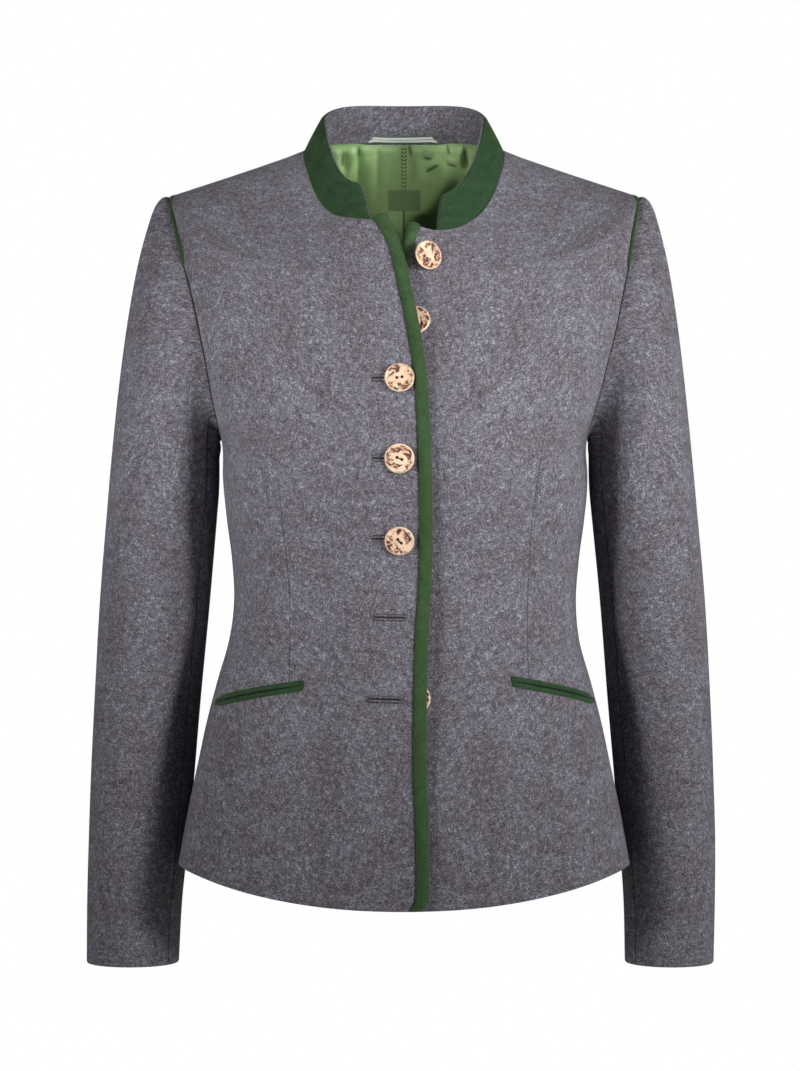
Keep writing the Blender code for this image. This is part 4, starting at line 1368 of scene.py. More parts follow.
def make_binding(side):
    front = FRONTS[side]
    runs = NECK_RUN * spaced(NECK_RUN, BINDING_STEP)
    edge, wide = edge_turn(front, runs), bound_turn(front, runs)
    bound = BINDING_GAP + FELT
    away = unit(front_point(front, runs, edge - 1) - front_point(front, runs, edge + 1))
    rows = []
    for share in (0, 0.02, 0.06, 0.12, 0.2, 0.32, 0.45, 0.58, 0.7, 0.8, 0.9):
        sunk = (1 - min(share / 0.14, 1)) ** 2
        plump = BINDING_CROWN * math.sin(math.pi * min(share / 1.15, 1))
        out = bound + plump - (bound - 0.0003) * sunk
        rows.append(front_point(front, runs, wide + (edge - wide) * share, out))
    middle = front_point(front, runs, edge, -LODEN / 2)
    facing = unit(front_point(front, runs, edge, 0.001) - front_point(front, runs, edge, 0.0))
    for angle in (80, 60, 40, 20, 0, -20, -40, -60, -80):
        turn = math.radians(angle)
        half = LODEN / 2 + bound
        rows.append(middle + away * bound * math.cos(turn) + facing * half * math.sin(turn))
    narrow = edge + (wide - edge) * BINDING_UNDER / BINDING_WIDTH[side]
    under = -LODEN - BINDING_GAP
    for share in (0.1, 0.35, 0.65, 0.9, 1.0):
        out = under - SATIN * (1 - max(share - 0.8, 0) * 3)
        rows.append(front_point(front, runs, edge + (narrow - edge) * share, out))
    rows.append(front_point(front, runs, narrow, under))
    rows.append(front_point(front, runs, edge, under) + away * BINDING_GAP * 0.5)
    rows.append(front_point(front, runs, edge, BINDING_GAP * 0.3) + away * BINDING_GAP * 0.5)
    grid = np.stack(rows, 1)
    grid[0] = grid[0] * 0.4 + grid[1] * 0.6
    piece = tube(f"felt_binding_{side}", grid, [FELT_BINDING])
    keep(piece, "felt", f"binding_{side}")
    print(piece.name, grid.shape[:2], "points")


for side in SIDES:
    make_binding(side)

# %% Piping
PIPING_WIDTH = 0.0038
PIPING_RISE = 0.0010
PIPING_ENDS = {"right": 123, "left": 117}
PIPING_POINT = 6.0
PIPING_INSET = 0.0004
PIPING_LIFT = 0.0009


def make_piping(side):
    """A narrow felt cord along the front and back of the armhole's top, pointed at both ends."""
    end = PIPING_ENDS[side]
    angles = np.concatenate([np.linspace(end, 179.4, 60), np.linspace(180.6, 360 - end, 60)])
    edge, facing, onward = armhole_edge(side, angles, 154)
    own = np.minimum(angles, 360 - angles)
    lift = PIPING_LIFT * (1 - ease(own, 160, 176))
    low = 1 - 0.6 * ease(own, 168, 179)
    wide = 0.12 + 0.88 * ease(own - end, 0, PIPING_POINT)
    rows = []
    for share in np.linspace(0, 1, 17):
        cord = abs(math.sin(2 * math.pi * share)) ** 0.8
        ridge = max(cord, 0.25 if 0.3 < share < 0.7 else 0.0)
        inward = PIPING_INSET + (PIPING_WIDTH - 0.0002) * share * wide
        rise = lift + PIPING_RISE * ridge * (0.5 + 0.5 * wide) * low
        rows.append(edge - onward * inward[:, None] + facing * rise[:, None])
    for share in (0.9, 0.1):
        inward = PIPING_INSET + (PIPING_WIDTH - 0.0002) * share * wide
        rows.append(edge - onward * inward[:, None] - facing * PIPING_INSET)
    grid = np.stack(rows, 1) * np.array((SIDES[side], 1, 1))
    piece = tube(f"felt_piping_{side}", grid, [FELT_BINDING])
    keep(piece, "felt", f"piping_{side}")


for side in SIDES:
    make_piping(side)
print("piping made")

# %% [markdown]
# A welt pocket is a slit with two lips. Each lip is a folded strip of felt, so its section is a
# low round bank. The lips meet at both ends and gape a little in the middle, over a strip of
# near-black felt that stands for the dark pocket bag and for painted shade in the mouth.

# %% Pockets
WELT_HEIGHT = 0.0037
WELT_RISE = 0.0015
SLIT = 0.0016
WELT_LENGTH = 0.075
BAG_AND_SHADE_HALF = 0.0012
BAG_AND_SHADE_RISE = 0.0003
Pocket = namedtuple("Pocket", "inner_x inner_z outer_x outer_z")
POCKETS = {
    "right": mm(Pocket, (79, -429, 150, -445))[0],
    "left": mm(Pocket, (84.5, -426, 151, -443.5))[0],
}
# Near-black felt in the pocket mouth: the dark pocket bag, and painted shade inside the slit.
POCKET_BAG_AND_SHADE = make_felt("pocket_recess", (0.0030, 0.0080, 0.0030), (0.0060, 0.0140, 0.0050))


def bank(front, turns, low, high, rise, base=0.0):
    """A low round bank on a front, between two lines of heights."""
    angle = np.radians(np.linspace(0, 180, 11))
    across = (1 - np.cos(angle)) / 2
    heights = low[:, None] + (high - low)[:, None] * across
    return front_at(front, turns[:, None], heights, base + rise * np.sin(angle) ** 0.7)


def make_pocket(side):
    front, pocket = FRONTS[side], POCKETS[side]
    start = float(turn_at_x(front_run(front, 40, pocket.inner_z), pocket.inner_x))
    end = float(turn_at_x(front_run(front, 75, pocket.outer_z), pocket.outer_x))
    share = spaced(WELT_LENGTH, 0.002)
    turns = start + (end - start) * share
    middle = pocket.inner_z + (pocket.outer_z - pocket.inner_z) * share
    gape = SLIT * 0.9 * (1 - np.abs(2 * share - 1) ** 4)
    rounded = 1 - 0.15 * (1 - ease(share, 0.0, 0.02)) - 0.62 * (1 - ease(1 - share, 0.0, 0.14))
    reach = SLIT / 2 + WELT_HEIGHT * rounded
    for place, way in (("upper", 1), ("lower", -1)):
        grid = bank(front, turns, middle + way * gape / 2, middle + way * reach, WELT_RISE)
        piece = tube(f"felt_welt_{place}_{side}", grid, [FELT_TRIM])
        keep(piece, "felt", f"welt_{place}_{side}")
    # A strip under the gape: partly the pocket bag, partly painted shade.
    turns, middle = turns[2:-2], middle[2:-2]
    grid = bank(front, turns, middle - BAG_AND_SHADE_HALF, middle + BAG_AND_SHADE_HALF, BAG_AND_SHADE_RISE)
    keep(tube(f"pocket_recess_{side}", grid, [POCKET_BAG_AND_SHADE]), "felt")


for side in SIDES:
    make_pocket(side)
print("pockets made")

# %% [markdown]
# ## Bound buttonholes
#
# These are small welt pockets in the cloth itself: two loden lips round a slit. They rise less
# than a millimetre, so what one sees is mostly the dark slit and the shade round the lips, both
# painted: a dark strip lies in the slit, and the lips darken along their borders.

# %% Buttonholes
HOLE_HEIGHT = 0.0058
HOLE_SLIT = 0.00015
HOLE_STEP = 0.0012
SLIT_HALF = 0.0004
SLIT_RISE = 0.0001
SLIT_SHORTER = 0.94
FLAT_RISE = 0.0003
Hole = namedtuple("Hole", "x z slope length rise")
HOLES = (
    Hole(-0.024, -0.08, 32, 0.015, 0.0002),
    Hole(-0.0225, -0.1335, 6, 0.016, 0.0002),
    Hole(-0.0125, -0.189, 1, 0.026, 0.0006),
    Hole(-0.0125, -0.2515, -1, 0.026, 0.0006),
    Hole(-0.0125, -0.314, -1, 0.026, 0.0006),
    Hole(-0.0105, -0.3756, -2, 0.026, 0.0015),
    Hole(-0.0145, -0.4392, -2, 0.026, 0.0015),
)
# Painted shade: a strip in each slit stands for the shade inside it, grey where the lips lie flat.
DARK_SLIT_SHADE = make_felt("buttonhole_slit", (0.0070, 0.0070, 0.0080), (0.0150, 0.0150, 0.0170))
GREY_SLIT_SHADE = make_felt("buttonhole_slit_grey", (0.0300, 0.0290, 0.0330), (0.0600, 0.0580, 0.0660))


def hole_bank(name, hole, low, high, rise, shorten, cloth):
    """A low bank along a buttonhole, between two distances from its middle line."""
    length = hole.length * shorten
    along = (spaced(length, HOLE_STEP) - 0.5) * length
    closing = (1 - np.abs(along / (length / 2)) ** 8) ** 0.5
    slope = math.radians(hole.slope)
    angle = np.radians(np.linspace(0, 180, 13))
    across = low + (high - low) * (1 - np.cos(angle)) / 2
    # How far each point is from the lip's borders, for painted shade along them; flat lips get
    # none.
    near = np.minimum(np.abs(across - low), np.abs(across - high)) + 2 * (rise < FLAT_RISE)
    along, closing = along[:, None], closing[:, None]
    seams = np.stack(np.broadcast_arrays(1.0, near + 0 * along), -1)
    across = across * (0.35 + 0.65 * closing)
    x = hole.x + along * math.cos(slope) - across * math.sin(slope)
    z = hole.z + along * math.sin(slope) + across * math.cos(slope)
    grid = front_place(FRONTS["right"], x, z, SLIT_RISE + rise * np.sin(angle) ** 0.8)
    return tube(name, grid, [cloth], 50, seams)


def join(name, pieces):
    """Several meshes as one object."""
    bpy.ops.object.select_all(action="DESELECT")
    for piece in pieces:
        piece.select_set(True)
    bpy.context.view_layer.objects.active = pieces[0]
    bpy.ops.object.join()
    pieces[0].name = name
    pieces[0].data.name = name
    return pieces[0]


def make_buttonholes():
    half = HOLE_HEIGHT / 2
    for number, hole in enumerate(HOLES, 1):
        # The strip in the slit is painted shade.
        slit = GREY_SLIT_SHADE if hole.rise < FLAT_RISE else DARK_SLIT_SHADE
        pieces = [
            hole_bank("upper_lip", hole, HOLE_SLIT, half, hole.rise, 1.0, LODEN_CLOTH),
            hole_bank("lower_lip", hole, -half, -HOLE_SLIT, hole.rise, 1.0, LODEN_CLOTH),
            hole_bank("slit", hole, -SLIT_HALF, SLIT_HALF, SLIT_RISE, SLIT_SHORTER, slit),
        ]
        piece = join(f"loden_buttonhole_{number}", pieces)
        keep(piece, "loden", f"buttonhole_{number}")


make_buttonholes()
print("buttonholes made")

# %% [markdown]
# ## Horn buttons
#
# A slice of antler keeps the rough outside of the horn: worm-like pits, brown where they are deep,
# with polished cream between. One face is a square grid bent into a disc, lowered by noise that
# differs on each button and, with its seed set, not from run to run. How deep each point lies is
# stored on the mesh, and the finish reads it.

# %% Buttons
BUTTON_RADIUS = 0.0116
BUTTON_GAP = 0.0008
BUTTON_THICK = 0.0034
BUTTON_DISH = 0.0006
THREAD_HOLE = 0.0012
THREAD_SPACING = 0.0042
STRAND = 0.00030
STEM = 0.0013
BUTTON_CELLS = 72
PIT_DEPTH = 0.0008
CREASE_DEPTH = 0.0003
GRAIN_HEIGHT = 0.00035
RIM_DROP = 0.0006
THREAD_HOLE_DEPTH = 0.0024
NOISE_SEED = 5
Button = namedtuple("Button", "x z through spin smooth strands lift facing")
BUTTONS = (
    Button(0.0180, -0.0934, False, 40, -0.25, None, 0.0048, (0.50, -0.84, 0.20)),
    Button(0.0088, -0.1435, False, 110, 0.0, 0, 0.0, None),
    Button(-0.0036, -0.1898, True, 8, 0.16, 0, 0.0, None),
    Button(-0.0036, -0.2512, True, -25, 0.10, 1, 0.0, None),
    Button(-0.0036, -0.3146, True, -49, 0.06, 2, 0.0, None),
    Button(0.0020, -0.3756, False, 0, 0.10, 2, 0.0, None),
    Button(0.0090, -0.4392, False, 40, 0.10, 2, 0.0, None),
)


def disc_grid():
    """A square grid bent into a unit disc."""
    line = np.linspace(-1, 1, BUTTON_CELLS + 1)
    a, b = np.meshgrid(line, line, indexing="ij")
    return np.stack([a * np.sqrt(1 - b * b / 2), b * np.sqrt(1 - a * a / 2)], -1)


def horn_noise(disc, number, scale, stretch):
    """Noise on the face: fractal, pushed about by slower noise, and stretched one way."""
    found = []
    for x, y in disc.reshape(-1, 2):
        place = Vector((x * scale, y * scale, number * 7.3))
        bend = noise.noise_vector(place * 0.6) * 0.8
        bent_place = Vector((place.x + bend.x, (place.y + bend.y) * stretch, place.z))
        found.append(noise.fractal(bent_place, 1, 2, 3))
    return np.array(found).reshape(disc.shape[:2])


def horn_relief(disc, number, button):
    """Height of the face, and a value from 0 in the pits to 1 on the polished ground; the thread
    holes go below 0, as painted shade.
    """
    radius = np.linalg.norm(disc, axis=-1)
    patches = horn_noise(disc, number, 1.5, 1.0)
    worms = horn_noise(disc, number + 20, 3.4, 2.0)
    fine = horn_noise(disc, number + 40, 9.0, 1.0)
    rough = ease(patches, *np.quantile(patches, (0.12, 0.30)))
    a, b = disc[..., 0], disc[..., 1]
    oval = np.hypot(a / (0.42 + button.smooth), b / (0.27 + button.smooth / 2))
    rough = rough * ease(oval, 0.9, 1.35) * (1 - 0.7 * ease(radius, 0.90, 0.97))
    pit = rough * (1 - ease(worms, *np.quantile(worms, (0.38, 0.74))))
    crease = rough * (1 - ease(worms, *np.quantile(worms, (0.10, 0.28))))
    height = BUTTON_THICK - BUTTON_DISH * (1 - ease(radius, 0.70, 0.90))
    height = height - PIT_DEPTH * pit - CREASE_DEPTH * crease + GRAIN_HEIGHT * rough * fine
    height = height - RIM_DROP * ease(radius, 0.92, 1.0) ** 2
    polish = 1 - 0.16 * rough - 0.40 * pit - 0.30 * crease + 0.22 * rough * fine + 0.06 * fine
    for shift in () if button.strands is None else (-0.5, 0.5):
        hole = np.hypot(a * BUTTON_RADIUS - shift * THREAD_SPACING, b * BUTTON_RADIUS)
        inside = 1 - ease(hole, THREAD_HOLE * 0.80, THREAD_HOLE * 1.05)
        height = height - THREAD_HOLE_DEPTH * inside
        # Painted shade: the thread holes' colour goes darker than the deepest pits.
        polish = polish * (1 - inside) - 0.6 * inside
    return height, polish


def button_axes(button):
    """Where a button sits, and its across, up and out."""
    front = FRONTS["right" if button.through else "left"]
    clear = BUTTON_GAP + button.lift + (SEAM + HOLES[2].rise if button.through else 0)
    place = (front, button.x, button.z)
    seat, ahead = (front_place(*place, clear + more) for more in (0.0, 0.001))
    facing = Vector(button.facing or (ahead - seat).tolist()).normalized()
    across = facing.cross(Vector(UP)).normalized() * -1
    axes = Matrix((across, facing.cross(across), facing)).transposed()
    spun = axes @ Matrix.Rotation(math.radians(button.spin), 3, "Z")
    return np.array(seat), np.array(spun)


def make_button(number, button):
    disc = disc_grid()
    height, polish = horn_relief(disc, number, button)
    flat = disc * (BUTTON_RADIUS - 0.0004)
    face = np.concatenate([flat, height[..., None]], -1).reshape(-1, 3)
    count = BUTTON_CELLS + 1
    index = np.arange(count * count).reshape(count, count)
    before = np.concatenate([index[0, :-1], index[:-1, -1], index[-1, :0:-1], index[:0:-1, 0]])
    outline, size, start = face[before] * np.array((1, 1, 0)), len(before), count * count
    points = [face]
    quads = np.stack([index[:-1, :-1], index[1:, :-1], index[1:, 1:], index[:-1, 1:]], -1)
    faces = quads.reshape(-1, 4).tolist()
    for radius, level in ((0.0, 0.70), (0.0, 0.45), (0.0004, 0.22), (0.0011, 0.0)):
        ring = unit(outline) * (BUTTON_RADIUS - radius)
        ring[:, 2] = BUTTON_THICK * level
        points.append(ring)
        here = start + np.arange(size)
        faces += np.stack([before, here, np.roll(here, -1), np.roll(before, -1)], -1).tolist()
        before, start = here, start + size
    faces.append(before[::-1].tolist())
    seat, axes = button_axes(button)
    placed = np.concatenate(points) @ axes.T + seat
    piece = make_object(f"horn_button_{number}", placed, faces, [HORN], None, None, 60)
    values = np.ones(len(placed))
    values[: count * count] = polish.ravel()
    relief = piece.data.attributes.new("relief", "FLOAT", "POINT")
    relief.data.foreach_set("value", values.astype(np.float32))
    keep(piece, "horn", f"button_{number}")
    return seat, axes


def thread_bar(seat, axes, shift):
    """One strand from thread hole to thread hole, over the middle of the button."""
    places, ring = [], np.linspace(0, math.tau, 7)[:-1]
    top = BUTTON_THICK - BUTTON_DISH + 0.00045
    for share in np.linspace(-1, 1, 15):
        x = share * THREAD_SPACING / 2
        z = top - 0.0016 * abs(share) ** 6
        circle = STRAND * np.stack([0 * ring, np.cos(ring) + shift, np.sin(ring)], -1)
        places.append((circle + np.array((x, 0, z))) @ axes.T + seat)
    return tube("strand", places, [DARK_THREAD])


def thread_stem(button, seat, axes):
    """The wound thread under a button that stands off the cloth."""
    foot = front_place(FRONTS["left"], button.x, button.z, 0.0002)
    ring = np.linspace(0, math.tau, 13)[:-1]
    circle = STEM * np.stack([np.cos(ring), np.sin(ring), 0 * ring], -1) @ axes.T
    end = seat - axes[:, 2] * 0.0002
    places = []
    for share in (0, 0.3, 0.7, 1):
        wide = 1 + 0.3 * (2 * share - 1) ** 2
        places.append(foot + (end - foot) * share + circle * wide)
    return tube("stem", places, [DARK_THREAD])


def make_buttons():
    noise.seed_set(NOISE_SEED)
    for number, button in enumerate(BUTTONS, 1):
        seat, axes = make_button(number, button)
        shifts = {None: (), 0: (), 1: (0,), 2: (-34 / 30, 34 / 30)}[button.strands]
        threads = [thread_bar(seat, axes, shift) for shift in shifts]
        if button.lift:
            threads.append(thread_stem(button, seat, axes))
        if threads:
            keep(join(f"button_thread_{number}", threads), "horn")


make_buttons()
print("buttons made:", len(BUTTONS))

# %% [markdown]
# ## Stitches
#
# A row of stitches repeats one small form along a path, so Geometry Nodes make it. The path is a
# line of edges that knows which way the cloth faces. The tree resamples it at the stitch length,
# sets a stitch on each point along the line and out of the cloth, and turns each one a little.

# %% One stitch, and the tree that sews a row
ARCH = ((-0.5, 0.3, -0.5), (-0.34, 0.8, 0), (0, 1, 0.2), (0.34, 0.8, 0), (0.5, 0.3, -0.5))


def stitch_form():
    """A small arched strand, 1 long and 1 thick, that dips into the cloth at both ends."""
    bm = bmesh.new()
    rings = []
    for along, thick, high in ARCH:
        ring = []
        for k in range(6):
            turn = math.tau * k / 6
            place = (along, thick * math.cos(turn) / 2, high + thick * math.sin(turn) / 2)
            ring.append(bm.verts.new(place))
        rings.append(ring)
    for low, high in zip(rings, rings[1:]):
        for k in range(6):
            n = (k + 1) % 6
            bm.faces.new((low[k], low[n], high[n], high[k]))
    bm.faces.new(rings[0])
    bm.faces.new(rings[-1])
    bmesh.ops.recalc_face_normals(bm, faces=bm.faces)
    mesh = bpy.data.meshes.new("stitch_form")
    bm.to_mesh(mesh)
    bm.free()
    mesh.shade_smooth()
    form = bpy.data.objects.new("stitch_form", mesh)
    form.hide_render = True
    scene.collection.objects.link(form)
    return form


def stitch_tree():
    tree = bpy.data.node_groups.new("sew_a_row", "GeometryNodeTree")
    for title, kind, value in (
        ("Geometry", "Geometry", None),
        ("Stitch", "Object", None),
        ("Pitch", "Float", 0.003),
        ("Length", "Float", 0.0024),
        ("Thickness", "Float", 0.0004),
        ("Slant", "Float", 0.0),
        ("Unevenness", "Float", 0.08),
        ("Seed", "Int", 1),
        ("Thread", "Material", None),
    ):
        made = tree.interface.new_socket(title, in_out="INPUT", socket_type="NodeSocket" + kind)
        if value is not None:
            made.default_value = value
    tree.interface.new_socket("Geometry", in_out="OUTPUT", socket_type="NodeSocketGeometry")
    given = tree.nodes.new("NodeGroupInput").outputs
    uneven, thick = given["Unevenness"], given["Thickness"]

    def add(kind, output=0, **inputs):
        return node(tree, kind, output, **inputs)

    align, geometry = "FunctionNodeAlignRotationToVector", "GeometryNode"
    curve = add(geometry + "MeshToCurve", Mesh=given["Geometry"])
    places = add(geometry + "ResampleCurve", mode="LENGTH", Curve=curve, Length=given["Pitch"])
    tangent = add(geometry + "InputTangent")
    facing = add(geometry + "InputNamedAttribute", data_type="FLOAT_VECTOR", Name="facing")
    along = add(align, axis="X", Vector=tangent)
    upright = add(align, axis="Z", pivot_axis="X", Rotation=along, Vector=facing)
    low = calculate(tree, "MULTIPLY", uneven, -1.0)
    chance = {"data_type": "FLOAT", "Min": low, "Max": uneven, "Seed": given["Seed"]}
    more = add("FunctionNodeRandomValue", 1, **chance)
    yaw = add("ShaderNodeCombineXYZ", Z=calculate(tree, "ADD", given["Slant"], more))
    turned = add("FunctionNodeEulerToRotation", Euler=yaw)
    both = {"Rotation": upright, "Rotate_By": turned}
    rotation = add("FunctionNodeRotateRotation", rotation_space="LOCAL", **both)
    long = calculate(tree, "MULTIPLY", given["Length"], calculate(tree, "ADD", more, 1.0))
    size = add("ShaderNodeCombineXYZ", X=long, Y=thick, Z=thick)
    form = add(geometry + "ObjectInfo", "Geometry", Object=given["Stitch"])
    stitches = {"Points": places, "Instance": form, "Rotation": rotation, "Scale": size}
    sewn = add(geometry + "InstanceOnPoints", **stitches)
    real = add(geometry + "RealizeInstances", Geometry=sewn)
    finished = add(geometry + "SetMaterial", Geometry=real, Material=given["Thread"])
    tree.links.new(finished, tree.nodes.new("NodeGroupOutput").inputs[0])
    return tree


STITCH = stitch_form()
SEW = stitch_tree()


def sew(name, slot, lines, thread, **sizes):
    """Rows of stitches along lines of (points, points further out), as one plain mesh."""
    points = np.concatenate([line[0] for line in lines])
    facings = unit(np.concatenate([line[1] for line in lines]) - points)
    edges, start = [], 0
    for line in lines:
        edges += [(k, k + 1) for k in range(start, start + len(line[0]) - 1)]
        start += len(line[0])
    mesh = bpy.data.meshes.new(name + "_line")
    mesh.from_pydata(points.tolist(), edges, [])
    layer = mesh.attributes.new("facing", "FLOAT_VECTOR", "POINT")
    layer.data.foreach_set("vector", facings.astype(np.float32).ravel())
    guide = bpy.data.objects.new(name + "_line", mesh)
    scene.collection.objects.link(guide)
    modifier = guide.modifiers.new("sew", "NODES")
    modifier.node_group = SEW
    values = {"Stitch": STITCH, "Thread": thread, **sizes}
    for item in SEW.interface.items_tree:
        if item.in_out == "INPUT" and item.name in values:
            modifier[item.identifier] = values[item.name]
    bpy.context.view_layer.update()
    seen = guide.evaluated_get(bpy.context.evaluated_depsgraph_get())
    plain = bpy.data.meshes.new_from_object(seen)
    plain.name = name
    bpy.data.objects.remove(guide)
    piece = bpy.data.objects.new(name, plain)
    scene.collection.objects.link(piece)
    keep(piece, slot)
    print(name, len(plain.polygons), "faces")


# %% [markdown]
# The lining's centre seam is held by feather stitches down to the label, two slanting rows that
# make small Vs. The label has a tack at each lower corner. Fine green stitches sink into the
# seam beside each binding, and a fine row follows the collar's edge.

# %% Sew the rows
LINING_FACE = -LODEN - LINING_GAP - SATIN
FEATHER = {"Pitch": 0.0032, "Length": 0.0028, "Thickness": 0.00085, "Seed": 3}
TACK = {"Pitch": 0.0018, "Length": 0.0019, "Thickness": 0.00045}
COLLAR_EDGE = {"Pitch": 0.0022, "Length": 0.0014, "Thickness": 0.00032, "Seed": 7}
BINDING_EDGE = {"Pitch": 0.0028, "Length": 0.0024, "Thickness": 0.0004, "Seed": 5}
ON_LINING = (0.0002, 0.0012)
ON_FELT = (0.0001, 0.0011)
SEWN_FROM = 0.004


def sew_lining():
    zs = np.linspace(LABEL["top"], 0.0095, 40)
    for name, x, slant in (("near", -0.0013, 0.75), ("far", 0.0013, -0.75)):
        line = [back_at(0 * zs + x, zs, 0 * zs + LINING_FACE - out) for out in ON_LINING]
        sew(f"feather_stitch_{name}", "satin", [line], DARK_THREAD, Slant=slant, **FEATHER)


def sew_label():
    lines = []
    for way in (-1, 1):
        middle = LABEL["x"] + way * (LABEL["width"] / 2 - 0.0022)
        xs = np.linspace(middle - 0.0018, middle + 0.0018, 5)
        zs = 0 * xs + LABEL["bottom"] + 0.0009
        lines.append([back_at(xs, zs, 0 * xs + LABEL_FACE - out) for out in ON_LINING])
    sew("label_tacks", "label", lines, PALE_THREAD, **TACK)


def sew_collar(side):
    turns, height = collar_turns(), collar_heights(0.0)[side]
    inside = height > 0.75 * COLLAR_HEIGHT
    turns, up = turns[inside], height[inside] - 0.0028
    line = [collar_point(side, turns, up, 0 * up + out) for out in ON_FELT]
    sew(f"collar_stitches_{side}", "felt", [line], EDGE_THREAD, **COLLAR_EDGE)


def sew_binding(side):
    runs = np.linspace(SEWN_FROM, NECK_RUN - SEWN_FROM, 200)
    wide = bound_turn(FRONTS[side], runs) + 0.12
    line = [front_point(FRONTS[side], runs, wide, out) for out in ON_FELT]
    sew(f"binding_stitches_{side}", "felt", [line], GREEN_THREAD, **BINDING_EDGE)


sew_lining()
sew_label()
for sew_edge in (sew_collar, sew_binding):
    for side in SIDES:
        sew_edge(side)

# %% [markdown]
# ## Floor and light
#
# The jacket hangs in a white room over a pale floor. Two wide beams from the front are the main
# light, and two narrow ones brighten the chest. A small spot reaches into the neck, and softboxes
# at the sides fill the sleeves, so that they shade away only softly.

# %% Floor, lights and surroundings
FLOOR_Z = -0.95
FLOOR_RADIUS = 1.1
FLOOR_COLOUR = (0.93, 0.93, 0.93)
Softbox = namedtuple("Softbox", "name place aim size power spread")
SOFTBOXES = (
    Softbox("high_softbox", (1.76, -1.48, 0.50), (0, 0, -0.30), 0.8, 4, 180),
    Softbox("low_softbox", (-1.99, -1.15, -0.70), (0, 0, -0.30), 0.8, 9, 180),
    Softbox("side_softbox", (2.27, -0.40, -0.30), (0, 0, -0.30), 0.8, 17, 180),
    Softbox("left_beam", (-1.70, -1.70, 0.05), (0, 0, -0.18), 0.4, 1.35, 40),
    Softbox("right_beam", (1.70, -1.70, 0.10), (0, 0, -0.18), 0.4, 2.0, 40),
    Softbox("left_spot", (-1.70, -1.70, -0.15), (-0.05, 0, -0.22), 0.3, 0.115, 12),
    Softbox("right_spot", (1.20, -2.08, -0.15), (0.05, 0, -0.20), 0.3, 0.095, 12),
    Softbox("neck_spot", (0.45, -2.38, 0.10), (0, 0.08, 0.005), 0.15, 0.045, 7),
)
ROOM_SEEN = 1.0
ROOM_LIGHT = 0.02


def make_floor():
    bm = bmesh.new()
    bmesh.ops.create_circle(bm, cap_ends=True, radius=FLOOR_RADIUS, segments=96)
    bmesh.ops.translate(bm, verts=bm.verts, vec=(0, 0, FLOOR_Z))
    mesh = bpy.data.meshes.new("studio_floor")
    bm.to_mesh(mesh)
    bm.free()
    pale = start_material("pale_floor", 0.9, Base_Color=(*FLOOR_COLOUR, 1), Specular_IOR_Level=0.5)
    mesh.materials.append(pale[0])
    floor = bpy.data.objects.new("studio_floor", mesh)
    scene.collection.objects.link(floor)


def make_lights():
    for box in SOFTBOXES:
        data = bpy.data.lights.new(box.name, "AREA")
        data.size = box.size
        data.energy = box.power
        data.spread = math.radians(box.spread)
        light = bpy.data.objects.new(box.name, data)
        light.location = box.place
        way = Vector(box.aim) - light.location
        light.rotation_euler = way.to_track_quat("-Z", "Y").to_euler()
        scene.collection.objects.link(light)


def make_room():
    """Surroundings that look white and light the jacket more softly than that."""
    world = bpy.data.worlds.new("white_room")
    scene.world = world
    world.use_nodes = True
    tree = world.node_tree
    ray = node(tree, "ShaderNodeLightPath", "Is Camera Ray")
    strength = node(tree, "ShaderNodeMapRange", Value=ray, To_Min=ROOM_LIGHT, To_Max=ROOM_SEEN)
    sky = tree.nodes["Background"]
    feed(tree, sky.inputs["Color"], (1, 1, 1, 1))
    feed(tree, sky.inputs["Strength"], strength)
    scene.view_settings.view_transform = "Standard"


make_floor()
make_lights()
make_room()
print("lights:", len(SOFTBOXES))

# %% [markdown]
# ## Cloth sizes
#
# Every panel's area, as made, is printed beside the area that it was cut to.

bpy.data.objects.remove(STITCH)

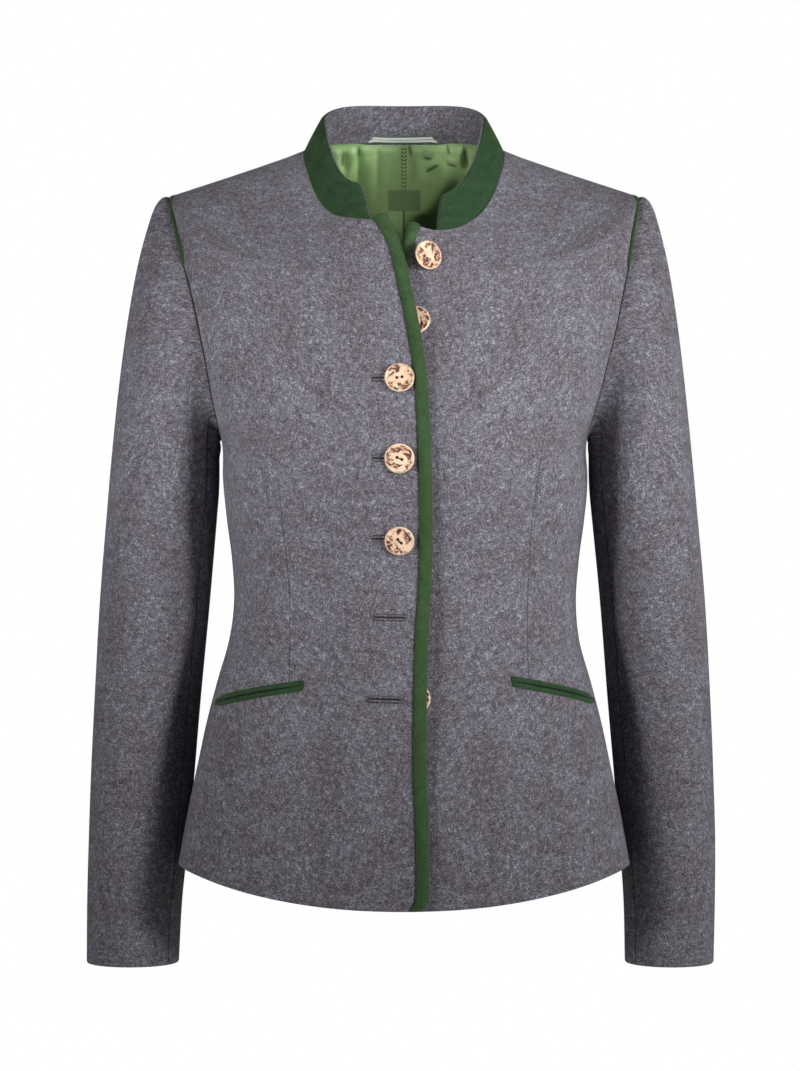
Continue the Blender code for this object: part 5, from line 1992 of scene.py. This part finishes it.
Cut = namedtuple("Cut", "piece width length cm2 held rests_on with_pieces", defaults=((),))
HOLE_NAMES = [f"loden_buttonhole_{n}" for n in range(1, len(HOLES) + 1)]
SEWN_COLLAR = ["collar_stitches_right", "collar_stitches_left"]
IN_RIGHT = [*HOLE_NAMES, "pocket_recess_right"]
BACKS = ("satin_back_right", "satin_back_left")
CUTS = [
    Cut("loden_front_right", 256, 716, 1290, "hung", "loden_back_right", IN_RIGHT),
    Cut("loden_front_left", 255, 704, 1300, "hung", "loden_back_left", ["pocket_recess_left"]),
    Cut("loden_back_right", 260, 709, 1260, "hung", "loden_collar_facing"),
    Cut("loden_back_left", 260, 709, 1260, "hung", "loden_collar_facing"),
    Cut("satin_back_right", 250, 687, 1180, "hung", "loden_back_right", ["feather_stitch_near"]),
    Cut("satin_back_left", 250, 687, 1180, "hung", "loden_back_left", ["feather_stitch_far"]),
    Cut("loden_top_sleeve_right", 299, 637, 1060, "hung", "loden_front_right"),
    Cut("loden_top_sleeve_left", 293, 636, 1030, "hung", "loden_front_left"),
    Cut("loden_under_sleeve_right", 202, 565, 560, "hung", "loden_back_right"),
    Cut("loden_under_sleeve_left", 196, 564, 550, "hung", "loden_back_left"),
    Cut("felt_collar", 476, 33, 129, "stretched", "loden_collar_facing", SEWN_COLLAR),
    Cut("loden_collar_facing", 469, 33, 128, "stretched", "felt_collar"),
    Cut("ribbon_loop", 63, 10, 3.7, "stretched", "loden_collar_facing"),
    Cut("bare_label", 27, 19, 5, "laid", BACKS, ["label_tacks"]),
]
TRIM = {
    "binding": ((20.5, 569, 116), (20, 562, 112)),
    "piping": ((10, 151, 6.3), (10, 162, 6.8)),
}
WELTS = ((10, 98, 4.6), (10, 96, 4.5))
for part, sizes in TRIM.items():
    for side, size in zip(SIDES, sizes):
        sewn = [f"binding_stitches_{side}"] if part == "binding" else ()
        CUTS.append(Cut(f"felt_{part}_{side}", *size, "folded", f"loden_front_{side}", sewn))
for side, size in zip(SIDES, WELTS):
    for place in ("upper", "lower"):
        CUTS.append(Cut(f"felt_welt_{place}_{side}", *size, "folded", f"loden_front_{side}"))


def declare_sheets():
    for cut in CUTS:
        piece = PIECES[cut.piece]
        made = sum(face.area for face in piece.data.polygons) / 2
        print(f"{cut.piece}: cut {cut.cm2} cm2, made {made * 1e4:.1f} cm2, {cut.held}")


declare_sheets()
